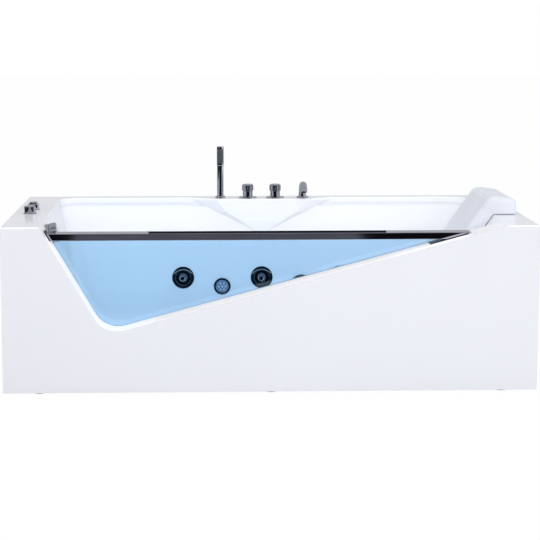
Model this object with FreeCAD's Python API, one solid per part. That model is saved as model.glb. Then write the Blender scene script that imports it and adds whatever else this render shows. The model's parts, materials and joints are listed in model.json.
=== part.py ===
import FreeCAD, Part
import math
import os

V = FreeCAD.Vector

# Jetted bathtub with a wedge window. Millimetres, +Z up, origin on the floor under the
# middle of the tub, -Y is the front that faces the room, -X the tap knob end, +X the backrest.

# ---------------------------------------------------------------- overall sizes
LENGTH = 1800.0
WIDTH = 900.0
FLOOR_Z = 107.0
SHELL_T = 5.0
APRON_T = 4.0
APRON_FLOOR_GAP = 4.0
TOUCH = 0.3

# ---------------------------------------------------------------- basin cavity
LEFT_DECK = 127.0
RIGHT_DECK = 102.0
BACK_RIM = 52.0
BATH_DEPTH = 458.0
LEFT_LEAN = 12.0
BACKREST_ANGLE = 55.0
BAND_HEIGHT = 32.0
LEDGE_STEP = 9.0
BACK_WALL_LEAN = 43.0
LEFT_FOOT_RADIUS = 90.0
BACKREST_FOOT_RADIUS = 170.0
BACK_CORNER_RADIUS = 70.0
FRONT_CORNER_RADIUS = 22.0
RIM_RADIUS = 6.0
EDGE_RADIUS = 3.0
REAR_LIP = 25.0

# ---------------------------------------------------------------- tap deck and keel
TAP_DECK_DEPTH = 105.0
TAP_DECK_HALF = 180.0
TAP_DECK_FLARE_HALF = 290.0
KEEL_HALVES = (136.0, 72.0, 5.0)
KEEL_DROPS = (51.0, 90.0, 142.0)
KEEL_INSETS = (4.0, 14.0, 34.0)
KEEL_FLANK = 1.15
KEEL_SIDE_SHARE = 0.6

# ---------------------------------------------------------------- wedge window
WINDOW_LOW_RUN = 214.0
WINDOW_LOW_RISE = 90.4
WINDOW_CORNER_RADIUS = 90.0
GLASS_SETBACK = 96.0
GLASS_T = 10.0
GLASS_LAP = 20.0
SEAL_T = 2.0

# ---------------------------------------------------------------- cap rail
RAIL_DEPTH = 60.0
RAIL_HEIGHT = 23.5
RAIL_DROP = 29.5
RAIL_GROOVE = 9.5
RAIL_REAR_LIP = 3.7
END_PLATE_T = 3.0
END_PLATE_MARGIN = 4.0
LEFT_PLATE_RISE = 10.0
RIGHT_PLATE_LENGTH = 130.0
RAIL_SCREW_RADIUS = 4.0
RAIL_SCREW_HEAD = 1.4

# ---------------------------------------------------------------- frame and feet
FRAME_TUBE = 30.0
FRAME_WALL = 2.0
FRAME_EDGE_GAP = 16.0
BOARD_T = 15.0
CROSS_LEFT_INSET = 430.0
CROSS_MIDDLE_X = -20.0
CROSS_RIGHT_INSET = 480.0
POST_INSET = 15.0
BOARD_END_MARGIN = 45.0
FOOT_INSET = 120.0
FOOT_PAD_RADIUS = 25.0
FOOT_PAD_HEIGHT = 10.0
FOOT_STUD_RADIUS = 6.0
FOOT_STUD_ABOVE = 14.0
NUT_HEIGHT = 9.0
NUT_WRENCH = 1.9

# ---------------------------------------------------------------- waste and overflow
WASTE_FROM_RIM = 213.0
WASTE_FROM_FRONT = 137.0
WASTE_FLANGE_RADIUS = 36.0
WASTE_FLANGE_T = 3.0
WASTE_TUBE_RADIUS = 26.0
WASTE_BORE_RADIUS = 21.0
WASTE_BOTTOM_Z = 22.0
PLUG_RADIUS = 32.0
PLUG_T = 5.0
PLUG_STEM_RADIUS = 5.0
DRAIN_PIPE_RADIUS = 20.0
DRAIN_PIPE_WALL = 2.0
DRAIN_Z = 44.0
TRAP_OFFSET_Y = 150.0
TRAP_RADIUS = 44.0
TRAP_BOTTOM_Z = 10.0
TRAP_TOP_Z = 78.0
TRAP_OUTLET_Z = 33.0
OVERFLOW_FROM_FRONT = 62.0
OVERFLOW_DROP = 47.0
OVERFLOW_RADIUS = 34.0
OVERFLOW_BODY_T = 13.0
OVERFLOW_KNOB_T = 26.0
OVERFLOW_PIPE_RADIUS = 16.0
OVERFLOW_PIPE_OFFSET = 39.0
OVERFLOW_AXLE_RADIUS = 6.0
OVERFLOW_SLOT_RADIUS = 3.0
OVERFLOW_SLOT_RING = 10.88
OVERFLOW_FLUTE_RADIUS = 7.0
OVERFLOW_FLUTE_OUT = 4.5
STUB_LENGTH = 12.0

# ---------------------------------------------------------------- back wall fittings
JET_XS = (-304.0, 0.0, 304.0)
JET_RISE = 151.0
JET_FLANGE_RADIUS = 42.5
JET_FLANGE_T = 5.0
JET_BARREL_RADIUS = 29.0
JET_BARREL_LENGTH = 70.0
JET_CHAMBER_DEPTH = 55.0
JET_THROAT_RADIUS = 12.0
JET_WATER_STUB = 9.0
JET_AIR_STUB = 6.0
JET_STUB_FROM_PIPE = 8.0
JET_RING_OUTER = 30.0
JET_RING_INNER = 18.6
JET_RING_T = 4.0
JET_BALL_RADIUS = 20.0
JET_BALL_SINK = 3.0
JET_HOLE_RADIUS = 6.0
JET_HOLE_TILT = 14.0
JET_HOLE_TURN = 140.0
LIGHT_X = -153.0
LIGHT_RISE = 117.0
LIGHT_RING_RADIUS = 32.5
LIGHT_LENS_RADIUS = 25.0
LIGHT_BODY_RADIUS = 24.0
LIGHT_BODY_LENGTH = 42.0
SUCTION_X = 154.0
SUCTION_RISE = 119.0
SUCTION_RADIUS = 42.0
SUCTION_BARREL_RADIUS = 26.0
SUCTION_BARREL_LENGTH = 48.0
SUCTION_SLOTS = 12
SUCTION_STUB = 10.0
WALL_NUT_T = 6.0
WALL_NUT_RIM = 8.0

# ---------------------------------------------------------------- pump and pipes
PUMP_FROM_END = 155.0
PUMP_AXIS_Z = 180.0
VOLUTE_FRONT_Y = -20.0
VOLUTE_BACK_Y = 45.0
VOLUTE_RADIUS = 72.0
VOLUTE_WALL = 8.0
DISCHARGE_OFFSET = 44.0
DISCHARGE_RISE = 10.0
PUMP_INLET_LENGTH = 30.0
MOTOR_RADIUS = 63.0
MOTOR_LENGTH = 215.0
MOTOR_FINS = 18
MOTOR_END_WALL = 20.0
MOTOR_COVER_LENGTH = 45.0
MOTOR_FOOT_HALF = 75.0
MOTOR_FOOT_T = 8.0
MOTOR_BOLT_HALF = 65.0
SHAFT_RADIUS = 7.0
BEARING_CLEARANCE = 0.05
IMPELLER_RADIUS = 52.0
IMPELLER_T = 16.0
IMPELLER_VANES = 6
ROTOR_GAP = 1.0
ROTOR_CORE_RADIUS = 38.0
ROTOR_CORE_GAP = 10.0
SHAFT_END_GAP = 5.0
BRACKET_LEFT = 145.0
BRACKET_RIGHT = 105.0
BRACKET_T = 3.0
BRACKET_FLANGE = 22.0
BOLT_RADIUS = 4.0
BOLT_HEAD_T = 5.5
BOLT_NUT_T = 6.5
BOLT_BELOW = 12.0
WATER_PIPE_RADIUS = 16.0
WATER_PIPE_WALL = 2.0
MANIFOLD_FROM_BACK = 28.0
MANIFOLD_Z = 170.0
MANIFOLD_TOP_Z = 320.0
MANIFOLD_TAIL = 24.0
AIR_PIPE_TAIL = 14.0
SUCTION_PIPE_RADIUS = 17.0
SUCTION_PIPE_FROM_BACK = 63.0
SUCTION_PIPE_Z = 114.0
SUCTION_RUN_FROM_END = 260.0
SUCTION_TURN_Y = -95.0
AIR_PIPE_RADIUS = 9.0
AIR_PIPE_WALL = 1.5
AIR_PIPE_Z = 330.0
BOX_SIZE = (160.0, 150.0, 70.0)
BOX_Y = -250.0

# ---------------------------------------------------------------- left deck controls
CONTROL_FROM_END = 59.0
AIR_KNOB_Y = -78.0
BUTTON_Y = 40.0
CONTROL_RADIUS = 20.5
CONTROL_HEIGHT = 29.0
CONTROL_FLANGE_T = 3.0
CONTROL_THREAD_RADIUS = 13.0
CONTROL_BODY_RADIUS = 17.0
CONTROL_BODY_LENGTH = 55.0
BUTTON_RADIUS = 15.5
BUTTON_TRAVEL = 5.0
BUTTON_COLLAR_HEIGHT = 21.0
SLIDE_CLEARANCE = 0.1

# ---------------------------------------------------------------- tap set on the back deck
TAP_PITCH = 106.0
TAP_FROM_BACK = 60.0
KNOB_CAP_RADIUS = 22.0
KNOB_CAP_HEIGHT = 27.0
KNOB_SKIRT_RADIUS = 19.0
KNOB_SKIRT_HEIGHT = 22.0
KNOB_GRIPS = 12
BASE_PLATE_RADIUS = 35.0
BASE_PLATE_T = 4.0
SPINDLE_RADIUS = 4.0
VALVE_THREAD_RADIUS = 12.0
VALVE_BODY_RADIUS = 19.0
VALVE_BODY_LENGTH = 42.0
THREAD_LENGTH = 36.0
HOLDER_FLANGE_RADIUS = 19.5
HOLDER_FLANGE_T = 8.0
HOLDER_SLEEVE_RADIUS = 15.0
HANDLE_RADIUS = 12.3
HANDLE_CLEARANCE = 0.4
HANDLE_BELOW = 26.0
SHOWER_HEIGHT = 199.0
HEAD_RADIUS = 13.4
HEAD_LENGTH = 72.0
NIPPLE_RADIUS = 7.0
NIPPLE_LENGTH = 14.0
SPRAY_FLAT = 8.5
SPRAY_T = 2.5
SPRAY_HOLE_RADIUS = 0.9
SPRAY_ROWS = 9
SPRAY_PITCH = 5.5
SPRAY_COLUMN_SHARE = 0.45
SPRAY_FROM_HEAD_FOOT = 13.0
SPOUT_FLANGE_RADIUS = 23.7
SPOUT_FLANGE_T = 6.0
SPOUT_RADIUS = 14.0
SPOUT_BORE = 11.0
SPOUT_STEM = 14.0
SPOUT_BEND = 38.0
SPOUT_SWEEP = 157.0
SPOUT_TAIL_RADIUS = 10.5

# ---------------------------------------------------------------- headrest
PAD_LENGTH = 338.0
PAD_T = 47.0
PAD_SLOPE_LENGTH = 200.0
PAD_DECK_LENGTH = 80.0
PAD_REAR_HEIGHT = 52.0
PAD_CREST_HEIGHT = 66.0
PAD_EDGE = 8.0
PAD_TOE = 12.0
PAD_NOSE = 20.0
PAD_CLEARANCE = 0.6
PAD_DRAW_IN = 6.0
PAD_TAPER = 0.6
PIN_RADIUS = 5.0
PIN_LENGTH = 20.0
PIN_ROOT = 10.0
PIN_CLEARANCE = 0.5
PIN_SPREAD = 90.0
PIN_FROM_EDGE = 48.0

# ---------------------------------------------------------------- sizes worked out from these
LEFT = -LENGTH / 2
RIGHT = LENGTH / 2
FRONT = -WIDTH / 2
BACK = WIDTH / 2
RIM_Z = FLOOR_Z + BATH_DEPTH
RIM_LEFT_X = LEFT + LEFT_DECK
RIM_RIGHT_X = RIGHT - RIGHT_DECK
RIM_BACK_Y = BACK - BACK_RIM
TAP_DECK_FRONT_Y = BACK - TAP_DECK_DEPTH
DECK_UNDER_Z = RIM_Z - SHELL_T
LEDGE_Z = RIM_Z - BAND_HEIGHT
GLASS_FRONT_Y = FRONT + GLASS_SETBACK
GLASS_BACK_Y = GLASS_FRONT_Y + GLASS_T
WALL_FRONT_Y = GLASS_BACK_Y + SEAL_T
CAVITY_FRONT_Y = WALL_FRONT_Y + SHELL_T
WINDOW_END_Y = CAVITY_FRONT_Y + FRONT_CORNER_RADIUS
WINDOW_LOW_X = RIM_LEFT_X + WINDOW_LOW_RUN
WINDOW_LOW_Z = FLOOR_Z + WINDOW_LOW_RISE
RAIL_TOP_Z = RIM_Z - RAIL_DROP
RAIL_UNDER_Z = RAIL_TOP_Z - RAIL_HEIGHT
RAIL_BACK_Y = GLASS_BACK_Y + TOUCH + RAIL_REAR_LIP
RAIL_FRONT_Y = RAIL_BACK_Y - RAIL_DEPTH
GLASS_TOP_Z = RAIL_UNDER_Z + RAIL_GROOVE - TOUCH
BOARD_TOP_Z = FLOOR_Z - SHELL_T
FRAME_TOP_Z = BOARD_TOP_Z - BOARD_T
FRAME_UNDER_Z = FRAME_TOP_Z - FRAME_TUBE
RAIL_TUBE_Y = BACK - APRON_T - FRAME_EDGE_GAP - FRAME_TUBE / 2
LEFT_LEAN_SLOPE = math.tan(math.radians(LEFT_LEAN))
BACKREST_SLOPE = 1 / math.tan(math.radians(BACKREST_ANGLE))
WALL_LEAN_SLOPE = BACK_WALL_LEAN / (LEDGE_Z - FLOOR_Z)
WALL_LEAN_ANGLE = math.degrees(math.atan(WALL_LEAN_SLOPE))
WALL_SEAT = SHELL_T * (1 + WALL_LEAN_SLOPE) * math.cos(math.atan(WALL_LEAN_SLOPE))
TAP_XS = [TAP_PITCH * step for step in (-1.5, -0.5, 0.5, 1.5)]
TAP_Y = BACK - TAP_FROM_BACK
CROSS_XS = (LEFT + CROSS_LEFT_INSET, CROSS_MIDDLE_X, RIGHT - CROSS_RIGHT_INSET)
FOOT_XS = (LEFT + FOOT_INSET, 0.0, RIGHT - FOOT_INSET)
WASTE_X = RIM_LEFT_X + WASTE_FROM_RIM
WASTE_Y = CAVITY_FRONT_Y + WASTE_FROM_FRONT
OVERFLOW_Y = CAVITY_FRONT_Y + OVERFLOW_FROM_FRONT
OVERFLOW_PIPE_X = RIM_LEFT_X - OVERFLOW_PIPE_OFFSET
JET_Z = FLOOR_Z + JET_RISE
LIGHT_Z = FLOOR_Z + LIGHT_RISE
SUCTION_Z = FLOOR_Z + SUCTION_RISE
PUMP_X = RIGHT - PUMP_FROM_END
BRACKET_X0 = PUMP_X - BRACKET_LEFT
BRACKET_X1 = PUMP_X + BRACKET_RIGHT
MANIFOLD_Y = BACK - MANIFOLD_FROM_BACK
SUCTION_PIPE_Y = BACK - SUCTION_PIPE_FROM_BACK
SUCTION_RUN_X = RIGHT - SUCTION_RUN_FROM_END
CONTROL_X = LEFT + CONTROL_FROM_END


# ---------------------------------------------------------------- small helpers
def box(x0, x1, y0, y1, z0, z1):
    return Part.makeBox(x1 - x0, y1 - y0, z1 - z0, V(x0, y0, z0))


def rod(radius, length, base, axis=V(0, 0, 1)):
    return Part.makeCylinder(radius, length, base, axis)


def ring(outer, inner, length, base, axis=V(0, 0, 1)):
    return rod(outer, length, base, axis).cut(rod(inner, length, base, axis))


def revolved(profile, centre=V(0, 0, 0)):
    """A turned solid from (radius, height) points, about a vertical line through centre."""
    points = [V(radius, 0, height) for radius, height in profile]
    face = Part.Face(Part.makePolygon(points + [points[0]]))
    solid = face.revolve(V(0, 0, 0), V(0, 0, 1), 360)
    solid.translate(centre)
    return solid


def nut(bore, across, height, base, axis=V(0, 0, 1)):
    """A hexagon nut whose corners lie on a circle of radius `across`."""
    corners = [V(across * math.cos(math.radians(60 * k)), across * math.sin(math.radians(60 * k)), 0)
               for k in range(7)]
    body = Part.Face(Part.makePolygon(corners)).extrude(V(0, 0, height))
    body = body.cut(rod(bore, height, V(0, 0, 0)))
    body.Placement = FreeCAD.Placement(base, FreeCAD.Rotation(V(0, 0, 1), axis))
    return body


def rounded_wire(points, radii):
    """A closed wire through the points, each corner rounded by an arc of its radius."""
    count = len(points)
    edges = []
    ends = []
    for index in range(count):
        corner = points[index]
        before = (points[index - 1] - corner).normalize()
        after = (points[(index + 1) % count] - corner).normalize()
        radius = radii[index]
        half_turn = before.getAngle(after) / 2
        if radius <= 0:
            ends.append((corner, corner, None))
            continue
        reach = radius / math.tan(half_turn)
        start = corner + before * reach
        finish = corner + after * reach
        inward = (before + after).normalize()
        middle = corner + inward * (radius / math.sin(half_turn) - radius)
        ends.append((start, finish, middle))
    for index in range(count):
        start, finish, middle = ends[index]
        if middle is not None:
            edges.append(Part.Arc(start, middle, finish).toShape())
        following = ends[(index + 1) % count][0]
        if (following - finish).Length > 1e-6:
            edges.append(Part.LineSegment(finish, following).toShape())
    return Part.Wire(edges)


def pipe_path(points, bend):
    """Straight runs joined by tangent arcs of radius `bend`."""
    edges = []
    last = points[0]
    for index in range(1, len(points) - 1):
        corner = points[index]
        before = (points[index - 1] - corner).normalize()
        after = (points[index + 1] - corner).normalize()
        half_turn = before.getAngle(after) / 2
        reach = bend / math.tan(half_turn)
        start = corner + before * reach
        finish = corner + after * reach
        middle = corner + (before + after).normalize() * (bend / math.sin(half_turn) - bend)
        edges.append(Part.LineSegment(last, start).toShape())
        edges.append(Part.Arc(start, middle, finish).toShape())
        last = finish
    edges.append(Part.LineSegment(last, points[-1]).toShape())
    return Part.Wire(edges)


def bent_rod(points, radius, bend):
    path = pipe_path(points, bend)
    circle = Part.makeCircle(radius, points[0], points[1] - points[0])
    return path.makePipeShell([Part.Wire(circle)], True, False)


def bent_pipe(points, radius, wall, bend):
    return bent_rod(points, radius, bend).cut(bent_rod(points, radius - wall, bend))


def place_on_back_wall(shape, x, z):
    """Moves a fitting made at the origin, with +Z out of the wall, onto the sloping back wall."""
    y = RIM_BACK_Y - LEDGE_STEP - (LEDGE_Z - z) * WALL_LEAN_SLOPE
    placed = shape.copy()
    placed.rotate(V(0, 0, 0), V(1, 0, 0), 90 - WALL_LEAN_ANGLE)
    placed.translate(V(x, y, z))
    return placed


# ---------------------------------------------------------------- shared regions
def basin_profile(grow, top_z, bottom_z):
    """Side view of the basin (x, z), its walls moved outward by `grow`, cut level at both ends."""
    left_shift = grow / math.cos(math.radians(LEFT_LEAN))
    right_shift = grow / math.sin(math.radians(BACKREST_ANGLE))

    def left_x(z):
        return RIM_LEFT_X - left_shift + (RIM_Z - z) * LEFT_LEAN_SLOPE

    def right_x(z):
        return RIM_RIGHT_X + right_shift - (RIM_Z - z) * BACKREST_SLOPE

    return [V(left_x(top_z), 0, top_z), V(left_x(bottom_z), 0, bottom_z),
            V(right_x(bottom_z), 0, bottom_z), V(right_x(top_z), 0, top_z)]


def edges_at_back(solid, y_low, z_low, z_high):
    """Edges whose middle lies behind y_low, between two heights and off the end planes."""
    found = []
    for edge in solid.Edges:
        middle = edge.valueAt((edge.FirstParameter + edge.LastParameter) / 2)
        if middle.y > y_low and z_low < middle.z < z_high:
            found.append(edge)
    return found


def basin_space(grow):
    """The hollow of the basin, or with `grow` its outside: a lower part and the upright band."""
    floor_z = FLOOR_Z - grow
    ledge_z = LEDGE_Z - grow
    front_y = CAVITY_FRONT_Y - grow
    wall_top_y = RIM_BACK_Y - LEDGE_STEP + grow
    wall_foot_y = wall_top_y - (ledge_z - floor_z) * WALL_LEAN_SLOPE
    top_z = RIM_Z
    corners = basin_profile(grow, ledge_z, floor_z)
    radii = [0, LEFT_FOOT_RADIUS + grow, BACKREST_FOOT_RADIUS + grow, 0]
    side = Part.Face(rounded_wire(corners, radii)).extrude(V(0, WIDTH, 0))
    side.translate(V(0, FRONT, 0))
    section = [V(LEFT, front_y, floor_z), V(LEFT, wall_foot_y, floor_z),
               V(LEFT, wall_top_y, ledge_z), V(LEFT, front_y, ledge_z)]
    across = Part.Face(Part.makePolygon(section + [section[0]])).extrude(V(LENGTH, 0, 0))
    lower = side.common(across)
    back_edges = edges_at_back(lower, wall_foot_y - 1, floor_z - 1, ledge_z - 1)
    lower = lower.makeFillet(BACK_CORNER_RADIUS + grow, back_edges)
    front_edges = [edge for edge in lower.Edges
                   if edge.BoundBox.YMax < front_y + 0.01 and edge.CenterOfMass.z < ledge_z - 1]
    lower = lower.makeFillet(FRONT_CORNER_RADIUS + grow, front_edges)
    tall = BACK_CORNER_RADIUS * 4
    band_corners = basin_profile(grow, top_z + tall, ledge_z - tall)
    band = Part.Face(Part.makePolygon(band_corners + [band_corners[0]])).extrude(
        V(0, RIM_BACK_Y + grow - front_y, 0))
    band.translate(V(0, front_y, 0))
    band_edges = edges_at_back(band, RIM_BACK_Y + grow - 1, ledge_z - tall + 1, top_z + tall - 1)
    band = band.makeFillet(BACK_CORNER_RADIUS + LEDGE_STEP + grow, band_edges)
    front_band = [edge for edge in band.Edges
                  if edge.BoundBox.YMax < front_y + 0.01 and edge.BoundBox.ZLength > tall]
    band = band.makeFillet(FRONT_CORNER_RADIUS + grow, front_band)
    band = band.common(box(LEFT, RIGHT, FRONT, BACK, ledge_z, top_z))
    return lower.fuse(band)


def tap_deck_space(inset):
    """The bulge under the tap deck with its V-shaped keel, its faces moved in by `inset`."""
    flare = (TAP_DECK_FLARE_HALF - TAP_DECK_HALF) / (RIM_BACK_Y - TAP_DECK_FRONT_Y)
    rows = [(RIM_Z, TAP_DECK_HALF, 0.0, flare)]
    for drop, half, back_step in zip(KEEL_DROPS, KEEL_HALVES, KEEL_INSETS):
        rows.append((RIM_Z - drop, half, back_step, KEEL_FLANK))
    wires = []
    for z, half, back_step, flank in rows:
        front_y = TAP_DECK_FRONT_Y + back_step + inset
        half_front = half - inset * KEEL_SIDE_SHARE
        half_back = half_front + flank * (BACK + 1 - front_y)
        corners = [V(-half_back, BACK + 1, z), V(-half_front, front_y, z),
                   V(half_front, front_y, z), V(half_back, BACK + 1, z)]
        wires.append(Part.makePolygon(corners + [corners[0]]))
    return Part.makeLoft(wires, True, True)


def window_runs():
    """Directions of the window's two lower edges: down the left one, up the right one."""
    left_run = V(WINDOW_LOW_X - RIM_LEFT_X, 0, WINDOW_LOW_Z - RIM_Z).normalize()
    right_run = V(RIM_RIGHT_X - WINDOW_LOW_X, 0, RIM_Z - WINDOW_LOW_Z).normalize()
    return left_run, right_run


def corner_cutter(corner, along_deck, along_jamb):
    """The sliver between a sharp deck edge at the window and its rounding, as a prism."""
    half = along_deck.getAngle(along_jamb) / 2
    reach = RIM_RADIUS / math.tan(half)
    start = corner + along_deck * reach
    finish = corner + along_jamb * reach
    inward = (along_deck + along_jamb).normalize()
    middle = corner + inward * (RIM_RADIUS / math.sin(half) - RIM_RADIUS)
    wire = Part.Wire([Part.LineSegment(corner, start).toShape(),
                      Part.Arc(start, middle, finish).toShape(),
                      Part.LineSegment(finish, corner).toShape()])
    return Part.Face(wire).extrude(V(0, WINDOW_END_Y - FRONT, 0))


def window_region(grow, top_z, y0, y1):
    """The wedge of the window as a prism from y0 to y1, its edges moved outward by `grow`."""
    left_run, right_run = window_runs()
    left_out = V(left_run.z, 0, -left_run.x)
    right_out = V(right_run.z, 0, -right_run.x)
    left_base = V(WINDOW_LOW_X, y0, WINDOW_LOW_Z) + left_out * grow
    right_base = V(WINDOW_LOW_X, y0, WINDOW_LOW_Z) + right_out * grow
    cross = left_run.x * right_run.z - left_run.z * right_run.x
    gap = right_base - left_base
    along = (gap.x * right_run.z - gap.z * right_run.x) / cross
    corner = left_base + left_run * along
    top_left = corner - left_run * ((corner.z - top_z) / left_run.z)
    top_right = corner + right_run * ((top_z - corner.z) / right_run.z)
    wire = rounded_wire([top_left, corner, top_right], [0, WINDOW_CORNER_RADIUS + grow, 0])
    return Part.Face(wire).extrude(V(0, y1 - y0, 0))


# ---------------------------------------------------------------- shell and panels
def make_basin_shell():
    hollow = basin_space(0).cut(tap_deck_space(0))
    outside = basin_space(SHELL_T)
    deck = box(LEFT, RIGHT, FRONT, BACK, DECK_UNDER_Z, RIM_Z)
    deck = deck.makeFillet(EDGE_RADIUS, [edge for edge in deck.Edges
                                         if edge.BoundBox.ZMin > RIM_Z - 0.01
                                         and edge.CenterOfMass.y < BACK - 1])
    lip = box(LEFT, RIGHT, BACK - APRON_T, BACK, RIM_Z - REAR_LIP, DECK_UNDER_Z)
    under_limit = box(LEFT, RIGHT, FRONT, BACK + 2, FLOOR_Z, DECK_UNDER_Z)
    under_taps = tap_deck_space(SHELL_T).common(under_limit)
    shell = outside.fuse(deck).cut(hollow).cut(under_taps).fuse(lip).removeSplitter()
    rim_edges = [edge for edge in shell.Edges
                 if edge.BoundBox.ZMin > RIM_Z - 0.01
                 and RIM_LEFT_X - 1 < edge.CenterOfMass.x < RIM_RIGHT_X + 1
                 and CAVITY_FRONT_Y - 1 < edge.CenterOfMass.y < BACK - 1]
    shell = shell.makeFillet(RIM_RADIUS, rim_edges)
    shell = shell.cut(window_region(0, RIM_Z + 1, FRONT - 1, WINDOW_END_Y))
    left_run, right_run = window_runs()
    shell = shell.cut(corner_cutter(V(RIM_LEFT_X, FRONT, RIM_Z), V(-1, 0, 0), left_run))
    shell = shell.cut(corner_cutter(V(RIM_RIGHT_X, FRONT, RIM_Z), V(1, 0, 0), right_run * -1))
    return shell


def wall_hole(radius, x, z):
    """A cutter for a round hole through the back wall, square to it."""
    return place_on_back_wall(rod(radius, SHELL_T * 8, V(0, 0, -SHELL_T * 4)), x, z)


def place_on_left_wall(shape, y, drop):
    """Moves a fitting made at the origin, with +Z out of the wall, onto the left end wall."""
    placed = shape.copy()
    placed.rotate(V(0, 0, 0), V(0, 1, 0), 90 - LEFT_LEAN)
    placed.translate(V(RIM_LEFT_X + drop * LEFT_LEAN_SLOPE, y, RIM_Z - drop))
    return placed


def drill_basin(shell):
    holes = [rod(WASTE_TUBE_RADIUS, SHELL_T * 3, V(WASTE_X, WASTE_Y, FLOOR_Z - SHELL_T * 2)),
             place_on_left_wall(rod(OVERFLOW_PIPE_RADIUS, SHELL_T * 8, V(0, 0, -SHELL_T * 4)),
                                OVERFLOW_Y, OVERFLOW_DROP)]
    for x in JET_XS:
        holes.append(wall_hole(JET_BARREL_RADIUS, x, JET_Z))
    holes.append(wall_hole(LIGHT_BODY_RADIUS, LIGHT_X, LIGHT_Z))
    holes.append(wall_hole(SUCTION_BARREL_RADIUS, SUCTION_X, SUCTION_Z))
    for y in (AIR_KNOB_Y, BUTTON_Y):
        holes.append(rod(CONTROL_THREAD_RADIUS, SHELL_T * 3, V(CONTROL_X, y, RIM_Z - SHELL_T * 2)))
    deck_radii = (HOLDER_SLEEVE_RADIUS, VALVE_THREAD_RADIUS, VALVE_THREAD_RADIUS, SPOUT_TAIL_RADIUS)
    for x, radius in zip(TAP_XS, deck_radii):
        holes.append(rod(radius, SHELL_T * 3, V(x, TAP_Y, RIM_Z - SHELL_T * 2)))
    for y in (-PIN_SPREAD, PIN_SPREAD):
        holes.append(rod(PIN_RADIUS + PIN_CLEARANCE, SHELL_T * 3,
                         V(RIM_RIGHT_X + PIN_FROM_EDGE, y, RIM_Z - SHELL_T * 2)))
    for hole in holes:
        shell = shell.cut(hole)
    return shell


def make_front_apron():
    """Front panel with the wedge opening and its reveal, which passes the glass above its top edge."""
    panel = box(LEFT, RIGHT, FRONT, FRONT + APRON_T, APRON_FLOOR_GAP, DECK_UNDER_Z)
    corners = [edge for edge in panel.Edges
               if edge.BoundBox.ZLength > APRON_T and edge.BoundBox.YMax < FRONT + 0.01]
    panel = panel.makeFillet(EDGE_RADIUS, corners)
    reveal_end = GLASS_FRONT_Y - TOUCH
    reveal = window_region(APRON_T, DECK_UNDER_Z, FRONT + APRON_T, reveal_end)
    above_glass = box(LEFT, RIGHT, FRONT, BACK, GLASS_TOP_Z + TOUCH, DECK_UNDER_Z)
    tail = window_region(APRON_T, DECK_UNDER_Z, FRONT + APRON_T, WALL_FRONT_Y - TOUCH).common(above_glass)
    whole = panel.fuse([reveal, tail]).cut(window_region(0, RIM_Z, FRONT - 1, WALL_FRONT_Y))
    return whole.removeSplitter()


def make_end_apron(side):
    inner = side * (LENGTH / 2 - APRON_T)
    outer = side * LENGTH / 2
    return box(min(inner, outer), max(inner, outer), FRONT + APRON_T, BACK - APRON_T,
               APRON_FLOOR_GAP, DECK_UNDER_Z)


def make_window_glass():
    pane = window_region(GLASS_LAP, GLASS_TOP_Z, GLASS_FRONT_Y, GLASS_BACK_Y)
    deck_zone = box(LEFT, RIM_LEFT_X - TOUCH, FRONT, BACK, FLOOR_Z, RIM_Z)
    return pane.cut(deck_zone)


def make_glass_seal():
    outer = window_region(GLASS_LAP, RAIL_UNDER_Z - TOUCH, GLASS_BACK_Y, WALL_FRONT_Y)
    return outer.cut(window_region(SEAL_T, RIM_Z, GLASS_BACK_Y - 1, WALL_FRONT_Y + 1))


# ---------------------------------------------------------------- cap rail
def make_cap_rail():
    rail = box(LEFT, RIGHT, RAIL_FRONT_Y, RAIL_BACK_Y, RAIL_UNDER_Z, RAIL_TOP_Z)
    long_edges = [edge for edge in rail.Edges if edge.BoundBox.XLength > RAIL_DEPTH]
    rail = rail.makeFillet(EDGE_RADIUS / 2, long_edges)
    groove = box(LEFT, RIGHT, GLASS_FRONT_Y - TOUCH, GLASS_BACK_Y + TOUCH,
                 RAIL_UNDER_Z - 1, RAIL_UNDER_Z + RAIL_GROOVE)
    opening = window_region(-END_PLATE_T, RIM_Z, RAIL_FRONT_Y - 1, RAIL_BACK_Y + 1)
    return rail.cut(groove).common(opening)


def rail_end_x(side, z):
    """Where the window's edge stands at height z, on the left (-1) or the right (+1)."""
    left_run, right_run = window_runs()
    if side < 0:
        return RIM_LEFT_X + (RIM_Z - z) * left_run.x / -left_run.z
    return RIM_RIGHT_X - (RIM_Z - z) * right_run.x / right_run.z


def make_rail_end_plates():
    band = window_region(0, RIM_Z, RAIL_FRONT_Y - END_PLATE_MARGIN, GLASS_FRONT_Y - TOUCH)
    band = band.cut(window_region(-END_PLATE_T, RIM_Z + 1, FRONT, CAVITY_FRONT_Y))
    left = band.common(box(LEFT, 0, FRONT, BACK, RAIL_UNDER_Z, RAIL_TOP_Z + LEFT_PLATE_RISE))
    right_start = rail_end_x(1, RAIL_UNDER_Z) - RIGHT_PLATE_LENGTH / 2
    right = band.common(box(right_start, right_start + RIGHT_PLATE_LENGTH, FRONT, BACK,
                            FLOOR_Z, RIM_Z))
    return Part.makeCompound([left, right])


def make_rail_screws():
    """Low button heads of the screws that hold the two end plates."""
    left_run, right_run = window_runs()
    left_in = V(-left_run.z, 0, left_run.x)
    right_in = V(-right_run.z, 0, right_run.x)
    y_mid = (RAIL_FRONT_Y + GLASS_FRONT_Y) / 2
    left_z = RAIL_TOP_Z + LEFT_PLATE_RISE / 2
    right_x = rail_end_x(1, RAIL_UNDER_Z) - RIGHT_PLATE_LENGTH / 2 + END_PLATE_MARGIN * 3
    right_z = RIM_Z - (RIM_RIGHT_X - right_x) * right_run.z / right_run.x
    screws = []
    for place, inward in ((V(rail_end_x(-1, left_z), y_mid, left_z), left_in),
                          (V(right_x, y_mid, right_z), right_in)):
        head = rod(RAIL_SCREW_RADIUS, RAIL_SCREW_HEAD, place + inward * END_PLATE_T, inward)
        screws.append(head)
    return Part.makeCompound(screws)


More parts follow.
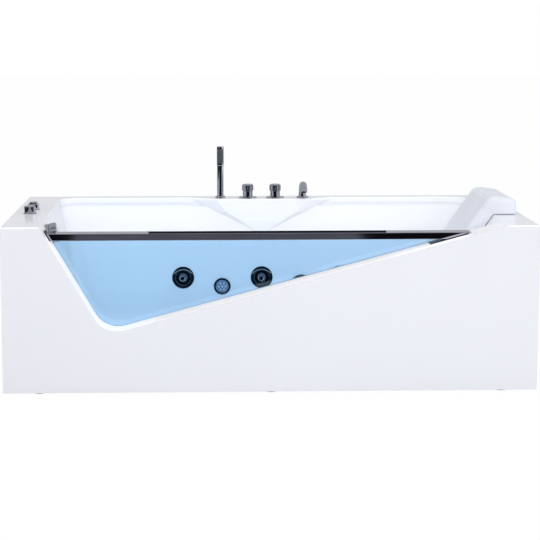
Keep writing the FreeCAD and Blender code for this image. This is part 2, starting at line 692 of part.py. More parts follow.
# ---------------------------------------------------------------- frame and feet
def square_tube(x0, x1, y0, y1, z0, z1):
    """A square tube open along its longest side."""
    outer = box(x0, x1, y0, y1, z0, z1)
    lengths = [x1 - x0, y1 - y0, z1 - z0]
    insets = [0.0 if length == max(lengths) else FRAME_WALL for length in lengths]
    inner = box(x0 + insets[0], x1 - insets[0], y0 + insets[1], y1 - insets[1],
                z0 + insets[2], z1 - insets[2])
    return outer.cut(inner)


def make_frame_rail(side):
    y = side * RAIL_TUBE_Y
    end = LENGTH / 2 - APRON_T - POST_INSET / 2
    tube = square_tube(-end, end, y - FRAME_TUBE / 2, y + FRAME_TUBE / 2,
                       FRAME_UNDER_Z, FRAME_TOP_Z)
    for x in FOOT_XS:
        tube = tube.cut(rod(FOOT_STUD_RADIUS, FRAME_WALL * 2, V(x, y, FRAME_UNDER_Z - FRAME_WALL)))
    return tube


def make_frame_cross(x):
    reach = RAIL_TUBE_Y - FRAME_TUBE / 2
    return square_tube(x - FRAME_TUBE / 2, x + FRAME_TUBE / 2, -reach, reach,
                       FRAME_UNDER_Z, FRAME_TOP_Z)


def make_frame_posts():
    posts = []
    post_x = LENGTH / 2 - APRON_T - POST_INSET - FRAME_TUBE / 2
    for x in (-post_x, post_x):
        for y in (-RAIL_TUBE_Y, RAIL_TUBE_Y):
            posts.append(square_tube(x - FRAME_TUBE / 2, x + FRAME_TUBE / 2, y - FRAME_TUBE / 2,
                                     y + FRAME_TUBE / 2, FRAME_TOP_Z, DECK_UNDER_Z))
    return Part.makeCompound(posts)


def make_base_board():
    flat_left = basin_profile(0, RIM_Z, FLOOR_Z)[1].x + BOARD_END_MARGIN
    flat_right = CROSS_XS[-1] + FRAME_TUBE / 2
    foot_y = RIM_BACK_Y - LEDGE_STEP - BACK_WALL_LEAN - BOARD_END_MARGIN
    board = box(flat_left, flat_right, CAVITY_FRONT_Y + BOARD_END_MARGIN, foot_y,
                FRAME_TOP_Z, BOARD_TOP_Z)
    return board.cut(rod(WASTE_TUBE_RADIUS * 2, BOARD_T, V(WASTE_X, WASTE_Y, FRAME_TOP_Z)))


def foot_places():
    return [V(x, side * RAIL_TUBE_Y, 0) for side in (-1, 1) for x in FOOT_XS]


def make_levelling_feet():
    profile = [(0, 0), (FOOT_PAD_RADIUS, 0), (FOOT_PAD_RADIUS, FOOT_PAD_HEIGHT * 0.4),
               (FOOT_STUD_RADIUS * 1.6, FOOT_PAD_HEIGHT), (FOOT_STUD_RADIUS, FOOT_PAD_HEIGHT),
               (FOOT_STUD_RADIUS, FRAME_UNDER_Z + FOOT_STUD_ABOVE),
               (0, FRAME_UNDER_Z + FOOT_STUD_ABOVE)]
    return Part.makeCompound([revolved(profile, place) for place in foot_places()])


def make_foot_lock_nuts():
    base_z = FRAME_UNDER_Z - NUT_HEIGHT
    return Part.makeCompound([nut(FOOT_STUD_RADIUS, FOOT_STUD_RADIUS * NUT_WRENCH, NUT_HEIGHT,
                                  place + V(0, 0, base_z)) for place in foot_places()])


# ---------------------------------------------------------------- waste and overflow
def make_waste_body():
    centre = V(WASTE_X, WASTE_Y, 0)
    top_z = FLOOR_Z + WASTE_FLANGE_T
    profile = [(WASTE_BORE_RADIUS, WASTE_BOTTOM_Z + SHELL_T), (WASTE_BORE_RADIUS, top_z - 1),
               (WASTE_BORE_RADIUS + 1, top_z), (WASTE_FLANGE_RADIUS - 2, top_z),
               (WASTE_FLANGE_RADIUS, FLOOR_Z), (WASTE_TUBE_RADIUS, FLOOR_Z),
               (WASTE_TUBE_RADIUS, WASTE_BOTTOM_Z), (0, WASTE_BOTTOM_Z),
               (0, WASTE_BOTTOM_Z + SHELL_T)]
    body = revolved(profile, centre)
    guide_z = FLOOR_Z - WASTE_FLANGE_RADIUS
    hub_radius = PLUG_STEM_RADIUS + SLIDE_CLEARANCE
    spider = rod(hub_radius + 3, SHELL_T, V(WASTE_X, WASTE_Y, guide_z))
    for turn in (0, 60, 120):
        bar = box(-WASTE_BORE_RADIUS - 1, WASTE_BORE_RADIUS + 1, -1.2, 1.2, 0, SHELL_T)
        bar.rotate(V(0, 0, 0), V(0, 0, 1), turn + 30)
        bar.translate(V(WASTE_X, WASTE_Y, guide_z))
        spider = spider.fuse(bar)
    body = body.fuse(spider).cut(rod(hub_radius, SHELL_T * 3, V(WASTE_X, WASTE_Y, guide_z - SHELL_T)))
    drain = V(WASTE_X, WASTE_Y, DRAIN_Z)
    reach = WASTE_TUBE_RADIUS + STUB_LENGTH
    rear_stub = rod(DRAIN_PIPE_RADIUS, reach, drain, V(0, 1, 0))
    left_stub = rod(OVERFLOW_PIPE_RADIUS, reach, drain, V(-1, 0, 0))
    body = body.fuse(rear_stub).fuse(left_stub)
    body = body.cut(rod(WASTE_BORE_RADIUS, guide_z - WASTE_BOTTOM_Z - SHELL_T,
                        V(WASTE_X, WASTE_Y, WASTE_BOTTOM_Z + SHELL_T)))
    body = body.cut(rod(DRAIN_PIPE_RADIUS - DRAIN_PIPE_WALL, reach + 1, drain, V(0, 1, 0)))
    return body.cut(rod(OVERFLOW_PIPE_RADIUS - DRAIN_PIPE_WALL, reach + 1, drain, V(-1, 0, 0)))


def make_popup_plug():
    base_z = FLOOR_Z + WASTE_FLANGE_T + TOUCH
    stem_end = FLOOR_Z - WASTE_FLANGE_RADIUS - SHELL_T * 2
    profile = [(0, stem_end), (PLUG_STEM_RADIUS, stem_end), (PLUG_STEM_RADIUS, base_z),
               (PLUG_RADIUS, base_z), (PLUG_RADIUS, base_z + 2), (PLUG_RADIUS * 0.8, base_z + 4),
               (0, base_z + PLUG_T)]
    return revolved(profile, V(WASTE_X, WASTE_Y, 0))


def make_waste_trap():
    trap_y = WASTE_Y + TRAP_OFFSET_Y
    stub_end = WASTE_Y + WASTE_TUBE_RADIUS + STUB_LENGTH
    wall = DRAIN_PIPE_WALL
    cup = rod(TRAP_RADIUS, TRAP_TOP_Z - TRAP_BOTTOM_Z, V(WASTE_X, trap_y, TRAP_BOTTOM_Z))
    hollow = rod(TRAP_RADIUS - wall * 1.5, TRAP_TOP_Z - TRAP_BOTTOM_Z - wall * 3,
                 V(WASTE_X, trap_y, TRAP_BOTTOM_Z + wall * 1.5))
    inlet = V(WASTE_X, stub_end, DRAIN_Z)
    outlet = V(WASTE_X, trap_y, TRAP_OUTLET_Z)
    inlet_length = trap_y - stub_end
    outlet_length = BACK - APRON_T - trap_y
    body = cup.fuse(rod(DRAIN_PIPE_RADIUS, inlet_length, inlet, V(0, 1, 0)))
    body = body.fuse(rod(DRAIN_PIPE_RADIUS, outlet_length, outlet, V(0, 1, 0)))
    body = body.cut(hollow)
    body = body.cut(rod(DRAIN_PIPE_RADIUS - wall, inlet_length, inlet, V(0, 1, 0)))
    return body.cut(rod(DRAIN_PIPE_RADIUS - wall, outlet_length, outlet, V(0, 1, 0)))


def make_overflow_body():
    """Rosette inside the end wall with a spigot through it and an elbow behind."""
    rosette = rod(OVERFLOW_RADIUS, OVERFLOW_BODY_T, V(0, 0, 0))
    rosette = rosette.makeFillet(EDGE_RADIUS, [rosette.Edges[0]])
    spigot = rod(OVERFLOW_PIPE_RADIUS, SHELL_T * 5, V(0, 0, -SHELL_T * 5))
    body = rosette.fuse(spigot)
    axle_hole = rod(OVERFLOW_AXLE_RADIUS + BEARING_CLEARANCE, OVERFLOW_BODY_T + SHELL_T, V(0, 0, -SHELL_T))
    body = body.cut(axle_hole)
    for turn in range(8):
        slot = rod(OVERFLOW_SLOT_RADIUS, OVERFLOW_BODY_T, V(0, 0, 0))
        angle = math.radians(45 * turn)
        slot.translate(V(OVERFLOW_SLOT_RING * math.cos(angle), OVERFLOW_SLOT_RING * math.sin(angle), 0))
        body = body.cut(slot)
    placed = place_on_left_wall(body, OVERFLOW_Y, OVERFLOW_DROP)
    elbow_z = RIM_Z - OVERFLOW_DROP - SHELL_T
    elbow = rod(OVERFLOW_PIPE_RADIUS + 3, SHELL_T * 8,
                V(OVERFLOW_PIPE_X, OVERFLOW_Y, elbow_z - SHELL_T * 5))
    joiner = rod(OVERFLOW_PIPE_RADIUS + 2, RIM_LEFT_X - OVERFLOW_PIPE_X - SHELL_T * 2,
                 V(OVERFLOW_PIPE_X, OVERFLOW_Y, elbow_z), V(1, 0, 0))
    bore = rod(OVERFLOW_PIPE_RADIUS, SHELL_T * 4, V(OVERFLOW_PIPE_X, OVERFLOW_Y, elbow_z - SHELL_T * 5))
    return placed.fuse(elbow).fuse(joiner).cut(bore).removeSplitter()


def make_overflow_knob():
    base = OVERFLOW_BODY_T + TOUCH
    top = base + OVERFLOW_KNOB_T
    profile = [(0, -TOUCH), (OVERFLOW_AXLE_RADIUS, -TOUCH), (OVERFLOW_AXLE_RADIUS, base),
               (OVERFLOW_RADIUS - 2, base),
               (OVERFLOW_RADIUS, base + 2), (OVERFLOW_RADIUS, top - 4), (OVERFLOW_RADIUS - 4, top),
               (0, top)]
    knob = revolved(profile)
    for turn in range(6):
        angle = math.radians(60 * turn)
        reach = OVERFLOW_RADIUS + OVERFLOW_FLUTE_OUT
        flute = rod(OVERFLOW_FLUTE_RADIUS, OVERFLOW_KNOB_T,
                    V(reach * math.cos(angle), reach * math.sin(angle), base + 4))
        knob = knob.cut(flute)
    return place_on_left_wall(knob, OVERFLOW_Y, OVERFLOW_DROP)


def make_overflow_pipe():
    top_z = RIM_Z - OVERFLOW_DROP - SHELL_T * 6
    stub_x = WASTE_X - WASTE_TUBE_RADIUS - STUB_LENGTH
    points = [V(OVERFLOW_PIPE_X, OVERFLOW_Y, top_z), V(OVERFLOW_PIPE_X, OVERFLOW_Y, DRAIN_Z),
              V(stub_x - 70, WASTE_Y, DRAIN_Z), V(stub_x, WASTE_Y, DRAIN_Z)]
    return bent_pipe(points, OVERFLOW_PIPE_RADIUS - 0.1, DRAIN_PIPE_WALL, OVERFLOW_PIPE_RADIUS * 2)


# ---------------------------------------------------------------- back wall fittings
def pipe_line(y, z, radius):
    return rod(radius, LENGTH, V(LEFT, y, z), V(1, 0, 0))


def wall_point(z, depth):
    """The (y, z) of the axis of a wall fitting, `depth` behind the wall's inner face."""
    y = RIM_BACK_Y - LEDGE_STEP - (LEDGE_Z - z) * WALL_LEAN_SLOPE
    lean = math.radians(WALL_LEAN_ANGLE)
    return y + depth * math.cos(lean), z - depth * math.sin(lean)


def jet_stub_place():
    """The (y, z) on a jet's axis from which its water and air stubs leave."""
    return wall_point(JET_Z, MANIFOLD_Y - JET_STUB_FROM_PIPE - wall_point(JET_Z, 0)[0])


def make_jet_body(x):
    profile = [(0, -JET_BARREL_LENGTH), (JET_BARREL_RADIUS - 3, -JET_BARREL_LENGTH),
               (JET_BARREL_RADIUS, -JET_BARREL_LENGTH + 3), (JET_BARREL_RADIUS, 0),
               (JET_FLANGE_RADIUS, 0), (JET_FLANGE_RADIUS, 2), (JET_FLANGE_RADIUS - 4, JET_FLANGE_T),
               (JET_RING_OUTER + TOUCH, JET_FLANGE_T), (JET_RING_OUTER + TOUCH, 2),
               (JET_BALL_RADIUS + 2, 2), (JET_BALL_RADIUS + 2, -JET_BALL_SINK - 4),
               (JET_THROAT_RADIUS, -JET_BALL_RADIUS - 2), (JET_THROAT_RADIUS, -JET_CHAMBER_DEPTH),
               (0, -JET_CHAMBER_DEPTH)]
    body = place_on_back_wall(revolved(profile), x, JET_Z)
    axis_y, axis_z = jet_stub_place()
    half = JET_BARREL_RADIUS / 2
    water = rod(JET_WATER_STUB, axis_z - half - MANIFOLD_Z, V(x, axis_y, MANIFOLD_Z))
    air = rod(JET_AIR_STUB, AIR_PIPE_Z - axis_z - half, V(x, axis_y, axis_z + half))
    body = body.fuse(water).fuse(air)
    body = body.cut(pipe_line(MANIFOLD_Y, MANIFOLD_Z, WATER_PIPE_RADIUS))
    body = body.cut(box(LEFT, RIGHT, FRONT, BACK, 0, MANIFOLD_Z))
    body = body.cut(pipe_line(axis_y, AIR_PIPE_Z, AIR_PIPE_RADIUS))
    return max(body.Solids, key=lambda solid: solid.Volume)


def make_jet_ring():
    profile = [(JET_RING_INNER + 2, 2 + TOUCH), (JET_RING_OUTER, 2 + TOUCH),
               (JET_RING_OUTER, 2 + TOUCH + JET_RING_T), (JET_RING_OUTER - 2, 4 + TOUCH + JET_RING_T),
               (JET_RING_INNER + 2, 4 + TOUCH + JET_RING_T), (JET_RING_INNER, 2 + TOUCH + JET_RING_T)]
    return revolved(profile)


def make_jet_rings():
    return Part.makeCompound([place_on_back_wall(make_jet_ring(), x, JET_Z) for x in JET_XS])


def make_jet_nozzle(x):
    """Eyeball with an off-centre outlet, which points down and to one side."""
    ball = Part.makeSphere(JET_BALL_RADIUS, V(0, 0, -JET_BALL_SINK))
    outlet = rod(JET_HOLE_RADIUS, JET_BALL_RADIUS * 3, V(0, 0, -JET_BALL_RADIUS * 1.5))
    outlet = outlet.fuse(Part.makeCone(JET_HOLE_RADIUS, JET_HOLE_RADIUS + 4, 5,
                                       V(0, 0, JET_BALL_RADIUS - 3)))
    outlet.rotate(V(0, 0, 0), V(0, 1, 0), JET_HOLE_TILT)
    outlet.rotate(V(0, 0, 0), V(0, 0, 1), JET_HOLE_TURN + 90)
    outlet.translate(V(0, 0, -JET_BALL_SINK))
    return place_on_back_wall(ball.cut(outlet), x, JET_Z)


def make_light_ring():
    profile = [(LIGHT_LENS_RADIUS + TOUCH, 0), (LIGHT_RING_RADIUS, 0), (LIGHT_RING_RADIUS, 3),
               (LIGHT_RING_RADIUS - 3, 6), (LIGHT_LENS_RADIUS + TOUCH, 6)]
    return place_on_back_wall(revolved(profile), LIGHT_X, LIGHT_Z)


def make_light_lens():
    profile = [(0, 0), (LIGHT_LENS_RADIUS, 0), (LIGHT_LENS_RADIUS, 4), (LIGHT_LENS_RADIUS * 0.8, 7),
               (LIGHT_LENS_RADIUS * 0.4, 8.5), (0, 9)]
    lens = revolved(profile)
    return place_on_back_wall(lens, LIGHT_X, LIGHT_Z)


def make_light_body():
    profile = [(0, -LIGHT_BODY_LENGTH), (LIGHT_BODY_RADIUS - 3, -LIGHT_BODY_LENGTH),
               (LIGHT_BODY_RADIUS, -LIGHT_BODY_LENGTH + 4), (LIGHT_BODY_RADIUS, -TOUCH),
               (LIGHT_BODY_RADIUS - 4, -TOUCH), (LIGHT_BODY_RADIUS - 4, -12), (0, -12)]
    body = revolved(profile)
    gland = rod(6, 10, V(0, 0, -LIGHT_BODY_LENGTH - 10))
    return place_on_back_wall(body.fuse(gland), LIGHT_X, LIGHT_Z)


def suction_stub_z():
    """Height of the lower end of the suction fitting's stub."""
    axis_z = wall_point(SUCTION_Z, SUCTION_PIPE_Y - wall_point(SUCTION_Z, 0)[0])[1]
    return axis_z - SUCTION_BARREL_RADIUS - SUCTION_STUB


def make_suction_body():
    barrel = ring(SUCTION_BARREL_RADIUS, SUCTION_BARREL_RADIUS - 3, SUCTION_BARREL_LENGTH - 4,
                  V(0, 0, -SUCTION_BARREL_LENGTH + 4))
    flange = ring(SUCTION_RADIUS - 3, SUCTION_BARREL_RADIUS - 3, 4, V(0, 0, 0))
    end = rod(SUCTION_BARREL_RADIUS, 4, V(0, 0, -SUCTION_BARREL_LENGTH))
    body = place_on_back_wall(barrel.fuse(flange).fuse(end), SUCTION_X, SUCTION_Z)
    low_z = suction_stub_z()
    stub = rod(SUCTION_PIPE_RADIUS, SUCTION_STUB + 6, V(SUCTION_X, SUCTION_PIPE_Y, low_z))
    body = body.fuse(stub)
    bore = rod(SUCTION_PIPE_RADIUS - WATER_PIPE_WALL, SUCTION_BARREL_RADIUS * 2 - 2,
               V(SUCTION_X, SUCTION_PIPE_Y, low_z - 1))
    return body.cut(bore).removeSplitter()


def make_suction_grille():
    base = 4 + TOUCH
    profile = [(0, base), (SUCTION_RADIUS, base), (SUCTION_RADIUS, base + 3),
               (SUCTION_RADIUS - 5, base + 8), (SUCTION_RADIUS - 14, base + 10), (0, base + 10)]
    cover = revolved(profile)
    cover = cover.cut(rod(SUCTION_BARREL_RADIUS - 3, 7, V(0, 0, base - 1)))
    for turn in range(SUCTION_SLOTS):
        slot = box(8, SUCTION_BARREL_RADIUS - 5, -1.6, 1.6, base - 1, base + 12)
        slot.rotate(V(0, 0, 0), V(0, 0, 1), 360 * turn / SUCTION_SLOTS)
        cover = cover.cut(slot)
    return place_on_back_wall(cover, SUCTION_X, SUCTION_Z)


def make_fitting_lock_nuts():
    nuts = []
    wall = [(x, JET_Z, JET_BARREL_RADIUS) for x in JET_XS]
    wall += [(LIGHT_X, LIGHT_Z, LIGHT_BODY_RADIUS), (SUCTION_X, SUCTION_Z, SUCTION_BARREL_RADIUS)]
    for x, z, bore in wall:
        collar = ring(bore + WALL_NUT_RIM, bore, WALL_NUT_T, V(0, 0, -WALL_SEAT - WALL_NUT_T))
        nuts.append(place_on_back_wall(collar, x, z))
    deck = [(TAP_XS[0], TAP_Y, HOLDER_SLEEVE_RADIUS), (TAP_XS[1], TAP_Y, VALVE_THREAD_RADIUS),
            (TAP_XS[2], TAP_Y, VALVE_THREAD_RADIUS), (TAP_XS[3], TAP_Y, SPOUT_TAIL_RADIUS),
            (CONTROL_X, AIR_KNOB_Y, CONTROL_THREAD_RADIUS), (CONTROL_X, BUTTON_Y, CONTROL_THREAD_RADIUS)]
    for x, y, bore in deck:
        nuts.append(nut(bore, bore + WALL_NUT_RIM, WALL_NUT_T, V(x, y, DECK_UNDER_Z - WALL_NUT_T)))
    return Part.makeCompound(nuts)


# ---------------------------------------------------------------- pump and pipes
def make_pump_housing():
    y0, y1, wall = VOLUTE_FRONT_Y, VOLUTE_BACK_Y, VOLUTE_WALL
    drum = rod(VOLUTE_RADIUS, y1 - y0, V(PUMP_X, y0, PUMP_AXIS_Z), V(0, 1, 0))
    inlet = rod(SUCTION_PIPE_RADIUS + 5, PUMP_INLET_LENGTH, V(PUMP_X, y0 - PUMP_INLET_LENGTH, PUMP_AXIS_Z),
                V(0, 1, 0))
    middle_y = (y0 + y1) / 2
    outlet = V(PUMP_X + DISCHARGE_OFFSET, middle_y, PUMP_AXIS_Z)
    neck = rod(WATER_PIPE_RADIUS + 3, VOLUTE_RADIUS + DISCHARGE_RISE, outlet)
    body = drum.fuse(inlet).fuse(neck)
    chamber = rod(IMPELLER_RADIUS + 4, y1 - y0 - 2 * wall, V(PUMP_X, y0 + wall, PUMP_AXIS_Z), V(0, 1, 0))
    body = body.cut(chamber)
    eye_y = y0 - PUMP_INLET_LENGTH - 1
    body = body.cut(rod(SUCTION_PIPE_RADIUS, y0 + wall - eye_y, V(PUMP_X, eye_y, PUMP_AXIS_Z), V(0, 1, 0)))
    body = body.cut(rod(WATER_PIPE_RADIUS, VOLUTE_RADIUS + DISCHARGE_RISE + 1, outlet))
    shaft_hole = rod(SHAFT_RADIUS + BEARING_CLEARANCE, wall * 3, V(PUMP_X, y1 - wall * 2, PUMP_AXIS_Z),
                     V(0, 1, 0))
    return body.cut(shaft_hole)


def bolt_places():
    return [V(PUMP_X + dx, VOLUTE_BACK_Y + MOTOR_LENGTH / 2 + dy, 0)
            for dx in (-MOTOR_RADIUS + 9, MOTOR_RADIUS - 9) for dy in (-MOTOR_BOLT_HALF, MOTOR_BOLT_HALF)]


def make_pump_motor():
    axis = V(0, 1, 0)
    y0 = VOLUTE_BACK_Y
    middle_y = y0 + MOTOR_LENGTH / 2
    cover_y = y0 + MOTOR_LENGTH - MOTOR_COVER_LENGTH
    body = rod(MOTOR_RADIUS - 5, MOTOR_LENGTH, V(PUMP_X, y0, PUMP_AXIS_Z), axis)
    for index in range(MOTOR_FINS):
        angle = math.radians(360 * (index + 0.5) / MOTOR_FINS)
        if math.sin(angle) < -0.55:
            continue
        fin = box(-1.5, 1.5, y0 + MOTOR_END_WALL + 5, cover_y - 5, MOTOR_RADIUS - 9, MOTOR_RADIUS)
        fin.rotate(V(0, 0, 0), axis, math.degrees(angle) - 90)
        fin.translate(V(PUMP_X, 0, PUMP_AXIS_Z))
        body = body.fuse(fin)
    fan_cover = rod(MOTOR_RADIUS, MOTOR_COVER_LENGTH, V(PUMP_X, cover_y, PUMP_AXIS_Z), axis)
    foot_z = FRAME_TOP_Z + BRACKET_T
    foot = box(PUMP_X - MOTOR_RADIUS, PUMP_X + MOTOR_RADIUS, middle_y - MOTOR_FOOT_HALF,
               middle_y + MOTOR_FOOT_HALF, foot_z, foot_z + MOTOR_FOOT_T)
    webs = [box(PUMP_X + dx - 4, PUMP_X + dx + 4, middle_y - MOTOR_FOOT_HALF + 25,
                middle_y + MOTOR_FOOT_HALF - 25, foot_z, PUMP_AXIS_Z - MOTOR_RADIUS / 2) for dx in (-35, 35)]
    body = body.fuse([fan_cover, foot] + webs)
    cavity = rod(ROTOR_CORE_RADIUS + 2, MOTOR_LENGTH - MOTOR_END_WALL * 3,
                 V(PUMP_X, y0 + MOTOR_END_WALL, PUMP_AXIS_Z), axis)
    bore = rod(SHAFT_RADIUS + BEARING_CLEARANCE, MOTOR_LENGTH - MOTOR_END_WALL,
               V(PUMP_X, y0, PUMP_AXIS_Z), axis)
    body = body.cut(cavity).cut(bore)
    for place in bolt_places():
        body = body.cut(rod(BOLT_RADIUS, MOTOR_FOOT_T * 2, V(place.x, place.y, foot_z - 1)))
    return body


def make_pump_rotor():
    """Shaft with the motor's rotor core, and the vaned impeller in the volute."""
    axis = V(0, 1, 0)
    shaft_y0 = VOLUTE_FRONT_Y + VOLUTE_WALL + ROTOR_GAP
    shaft_y1 = VOLUTE_BACK_Y + MOTOR_LENGTH - MOTOR_END_WALL - SHAFT_END_GAP
    shaft = rod(SHAFT_RADIUS, shaft_y1 - shaft_y0, V(PUMP_X, shaft_y0, PUMP_AXIS_Z), axis)
    core = rod(ROTOR_CORE_RADIUS, MOTOR_LENGTH - MOTOR_END_WALL * 3 - ROTOR_CORE_GAP * 2,
               V(PUMP_X, VOLUTE_BACK_Y + MOTOR_END_WALL + ROTOR_CORE_GAP, PUMP_AXIS_Z), axis)
    disc_y = VOLUTE_BACK_Y - VOLUTE_WALL - ROTOR_GAP - 4
    disc = rod(IMPELLER_RADIUS, 4, V(PUMP_X, disc_y, PUMP_AXIS_Z), axis)
    rotor = shaft.fuse([core, disc])
    for index in range(IMPELLER_VANES):
        vane = box(SHAFT_RADIUS - 1, IMPELLER_RADIUS - 2, disc_y - IMPELLER_T, disc_y + 1, -1.5, 1.5)
        vane.rotate(V(0, 0, 0), axis, 360 * index / IMPELLER_VANES)
        vane.translate(V(PUMP_X, 0, PUMP_AXIS_Z))
        rotor = rotor.fuse(vane)
    return rotor.removeSplitter()


def make_pump_bracket():
    reach = RAIL_TUBE_Y + FRAME_TUBE / 2
    inner = RAIL_TUBE_Y - FRAME_TUBE / 2 - 1
    plate = box(BRACKET_X0, BRACKET_X1, -reach, reach, FRAME_TOP_Z, FRAME_TOP_Z + BRACKET_T)
    for x in (BRACKET_X0, BRACKET_X1 - BRACKET_T):
        plate = plate.fuse(box(x, x + BRACKET_T, -inner, inner, FRAME_TOP_Z - BRACKET_FLANGE, FRAME_TOP_Z))
    for place in bolt_places():
        plate = plate.cut(rod(BOLT_RADIUS, BRACKET_T * 3, V(place.x, place.y, FRAME_TOP_Z - BRACKET_T)))
    return plate.removeSplitter()


def make_pump_bolts():
    foot_top = FRAME_TOP_Z + BRACKET_T + MOTOR_FOOT_T
    bolts = []
    for place in bolt_places():
        shank = rod(BOLT_RADIUS, foot_top - FRAME_TOP_Z + BOLT_BELOW,
                    V(place.x, place.y, FRAME_TOP_Z - BOLT_BELOW))
        head = nut(BOLT_RADIUS / 2, BOLT_RADIUS * NUT_WRENCH, BOLT_HEAD_T, V(place.x, place.y, foot_top))
        lower = nut(BOLT_RADIUS / 2, BOLT_RADIUS * NUT_WRENCH, BOLT_NUT_T,
                    V(place.x, place.y, FRAME_TOP_Z - BOLT_NUT_T))
        bolts.append(shank.fuse([head, lower]))
    return Part.makeCompound(bolts)


def make_water_manifold():
    neck_y = (VOLUTE_FRONT_Y + VOLUTE_BACK_Y) / 2
    x = PUMP_X + DISCHARGE_OFFSET
    start_z = PUMP_AXIS_Z + VOLUTE_RADIUS + DISCHARGE_RISE
    points = [V(x, neck_y, start_z), V(x, neck_y, MANIFOLD_TOP_Z), V(x, MANIFOLD_Y, MANIFOLD_TOP_Z),
              V(x, MANIFOLD_Y, MANIFOLD_Z), V(JET_XS[0] - MANIFOLD_TAIL, MANIFOLD_Y, MANIFOLD_Z)]
    return bent_pipe(points, WATER_PIPE_RADIUS, WATER_PIPE_WALL, WATER_PIPE_RADIUS * 2.2)


def make_suction_pipe():
    low_z = suction_stub_z()
    inlet_y = VOLUTE_FRONT_Y - PUMP_INLET_LENGTH
    points = [V(SUCTION_X, SUCTION_PIPE_Y, low_z), V(SUCTION_X, SUCTION_PIPE_Y, SUCTION_PIPE_Z),
              V(SUCTION_RUN_X, SUCTION_PIPE_Y, SUCTION_PIPE_Z), V(SUCTION_RUN_X, SUCTION_TURN_Y, PUMP_AXIS_Z),
              V(PUMP_X, SUCTION_TURN_Y, PUMP_AXIS_Z), V(PUMP_X, inlet_y, PUMP_AXIS_Z)]
    return bent_pipe(points, SUCTION_PIPE_RADIUS, WATER_PIPE_WALL, SUCTION_PIPE_RADIUS * 2)


def make_air_manifold():
    axis_y = jet_stub_place()[0]
    top_z = DECK_UNDER_Z - CONTROL_BODY_LENGTH
    points = [V(CONTROL_X, AIR_KNOB_Y, top_z), V(CONTROL_X, AIR_KNOB_Y, AIR_PIPE_Z),
              V(CONTROL_X, axis_y, AIR_PIPE_Z), V(JET_XS[-1] + AIR_PIPE_TAIL, axis_y, AIR_PIPE_Z)]
    return bent_pipe(points, AIR_PIPE_RADIUS, AIR_PIPE_WALL, AIR_PIPE_RADIUS * 4)


def make_control_box():
    centre_x = (BRACKET_X0 + BRACKET_X1) / 2
    size_x, size_y, size_z = BOX_SIZE
    base_z = FRAME_TOP_Z + BRACKET_T
    case = box(centre_x - size_x / 2, centre_x + size_x / 2, BOX_Y - size_y / 2, BOX_Y + size_y / 2,
               base_z, base_z + size_z)
    upright = [edge for edge in case.Edges if edge.BoundBox.ZLength > 1]
    case = case.makeFillet(EDGE_RADIUS * 2, upright)
    lid = box(centre_x - size_x / 2 + 6, centre_x + size_x / 2 - 6, BOX_Y - size_y / 2 + 6,
              BOX_Y + size_y / 2 - 6, base_z + size_z, base_z + size_z + 3)
    glands = [rod(7, 12, V(centre_x + dx, BOX_Y + size_y / 2, base_z + size_z / 2), V(0, 1, 0))
              for dx in (-45, 0, 45)]
    return case.fuse([lid] + glands)


# ---------------------------------------------------------------- left deck controls
def make_air_valve():
    centre = V(CONTROL_X, AIR_KNOB_Y, 0)
    spindle = SPINDLE_RADIUS + BEARING_CLEARANCE
    low_z = DECK_UNDER_Z - CONTROL_BODY_LENGTH
    profile = [(spindle, RIM_Z - 26), (spindle, RIM_Z + CONTROL_FLANGE_T),
               (CONTROL_RADIUS + 1.5, RIM_Z + CONTROL_FLANGE_T), (CONTROL_RADIUS + 2.5, RIM_Z),
               (CONTROL_THREAD_RADIUS, RIM_Z), (CONTROL_THREAD_RADIUS, DECK_UNDER_Z - 12),
               (CONTROL_BODY_RADIUS, DECK_UNDER_Z - 12), (CONTROL_BODY_RADIUS, low_z + 10),
               (AIR_PIPE_RADIUS, low_z), (0, low_z), (0, RIM_Z - 26)]
    return revolved(profile, centre)


def make_air_knob():
    base_z = RIM_Z + CONTROL_FLANGE_T + TOUCH
    top_z = RIM_Z + CONTROL_HEIGHT
    profile = [(0, RIM_Z - 24), (SPINDLE_RADIUS, RIM_Z - 24), (SPINDLE_RADIUS, base_z),
               (CONTROL_RADIUS, base_z), (CONTROL_RADIUS, top_z - 4), (CONTROL_RADIUS - 3, top_z - 1),
               (CONTROL_RADIUS - 9, top_z), (0, top_z)]
    knob = revolved(profile, V(CONTROL_X, AIR_KNOB_Y, 0))
    notch = rod(2.0, CONTROL_HEIGHT, V(CONTROL_X + CONTROL_RADIUS, AIR_KNOB_Y, base_z + 6))
    return knob.cut(notch)


def make_button_body():
    low_z = DECK_UNDER_Z - CONTROL_BODY_LENGTH
    bore = BUTTON_RADIUS + SLIDE_CLEARANCE
    stem_bore = SPINDLE_RADIUS + SLIDE_CLEARANCE
    floor_z = RIM_Z + CONTROL_FLANGE_T
    profile = [(stem_bore, DECK_UNDER_Z - 34), (stem_bore, floor_z), (bore, floor_z),
               (bore, RIM_Z + BUTTON_COLLAR_HEIGHT), (CONTROL_RADIUS - 2, RIM_Z + BUTTON_COLLAR_HEIGHT),
               (CONTROL_RADIUS, RIM_Z + BUTTON_COLLAR_HEIGHT - 2), (CONTROL_RADIUS, floor_z),
               (CONTROL_RADIUS + 2.5, RIM_Z), (CONTROL_THREAD_RADIUS, RIM_Z),
               (CONTROL_THREAD_RADIUS, DECK_UNDER_Z - 12), (CONTROL_BODY_RADIUS, DECK_UNDER_Z - 12),
               (CONTROL_BODY_RADIUS, low_z), (0, low_z), (0, DECK_UNDER_Z - 34)]
    return revolved(profile, V(CONTROL_X, BUTTON_Y, 0))


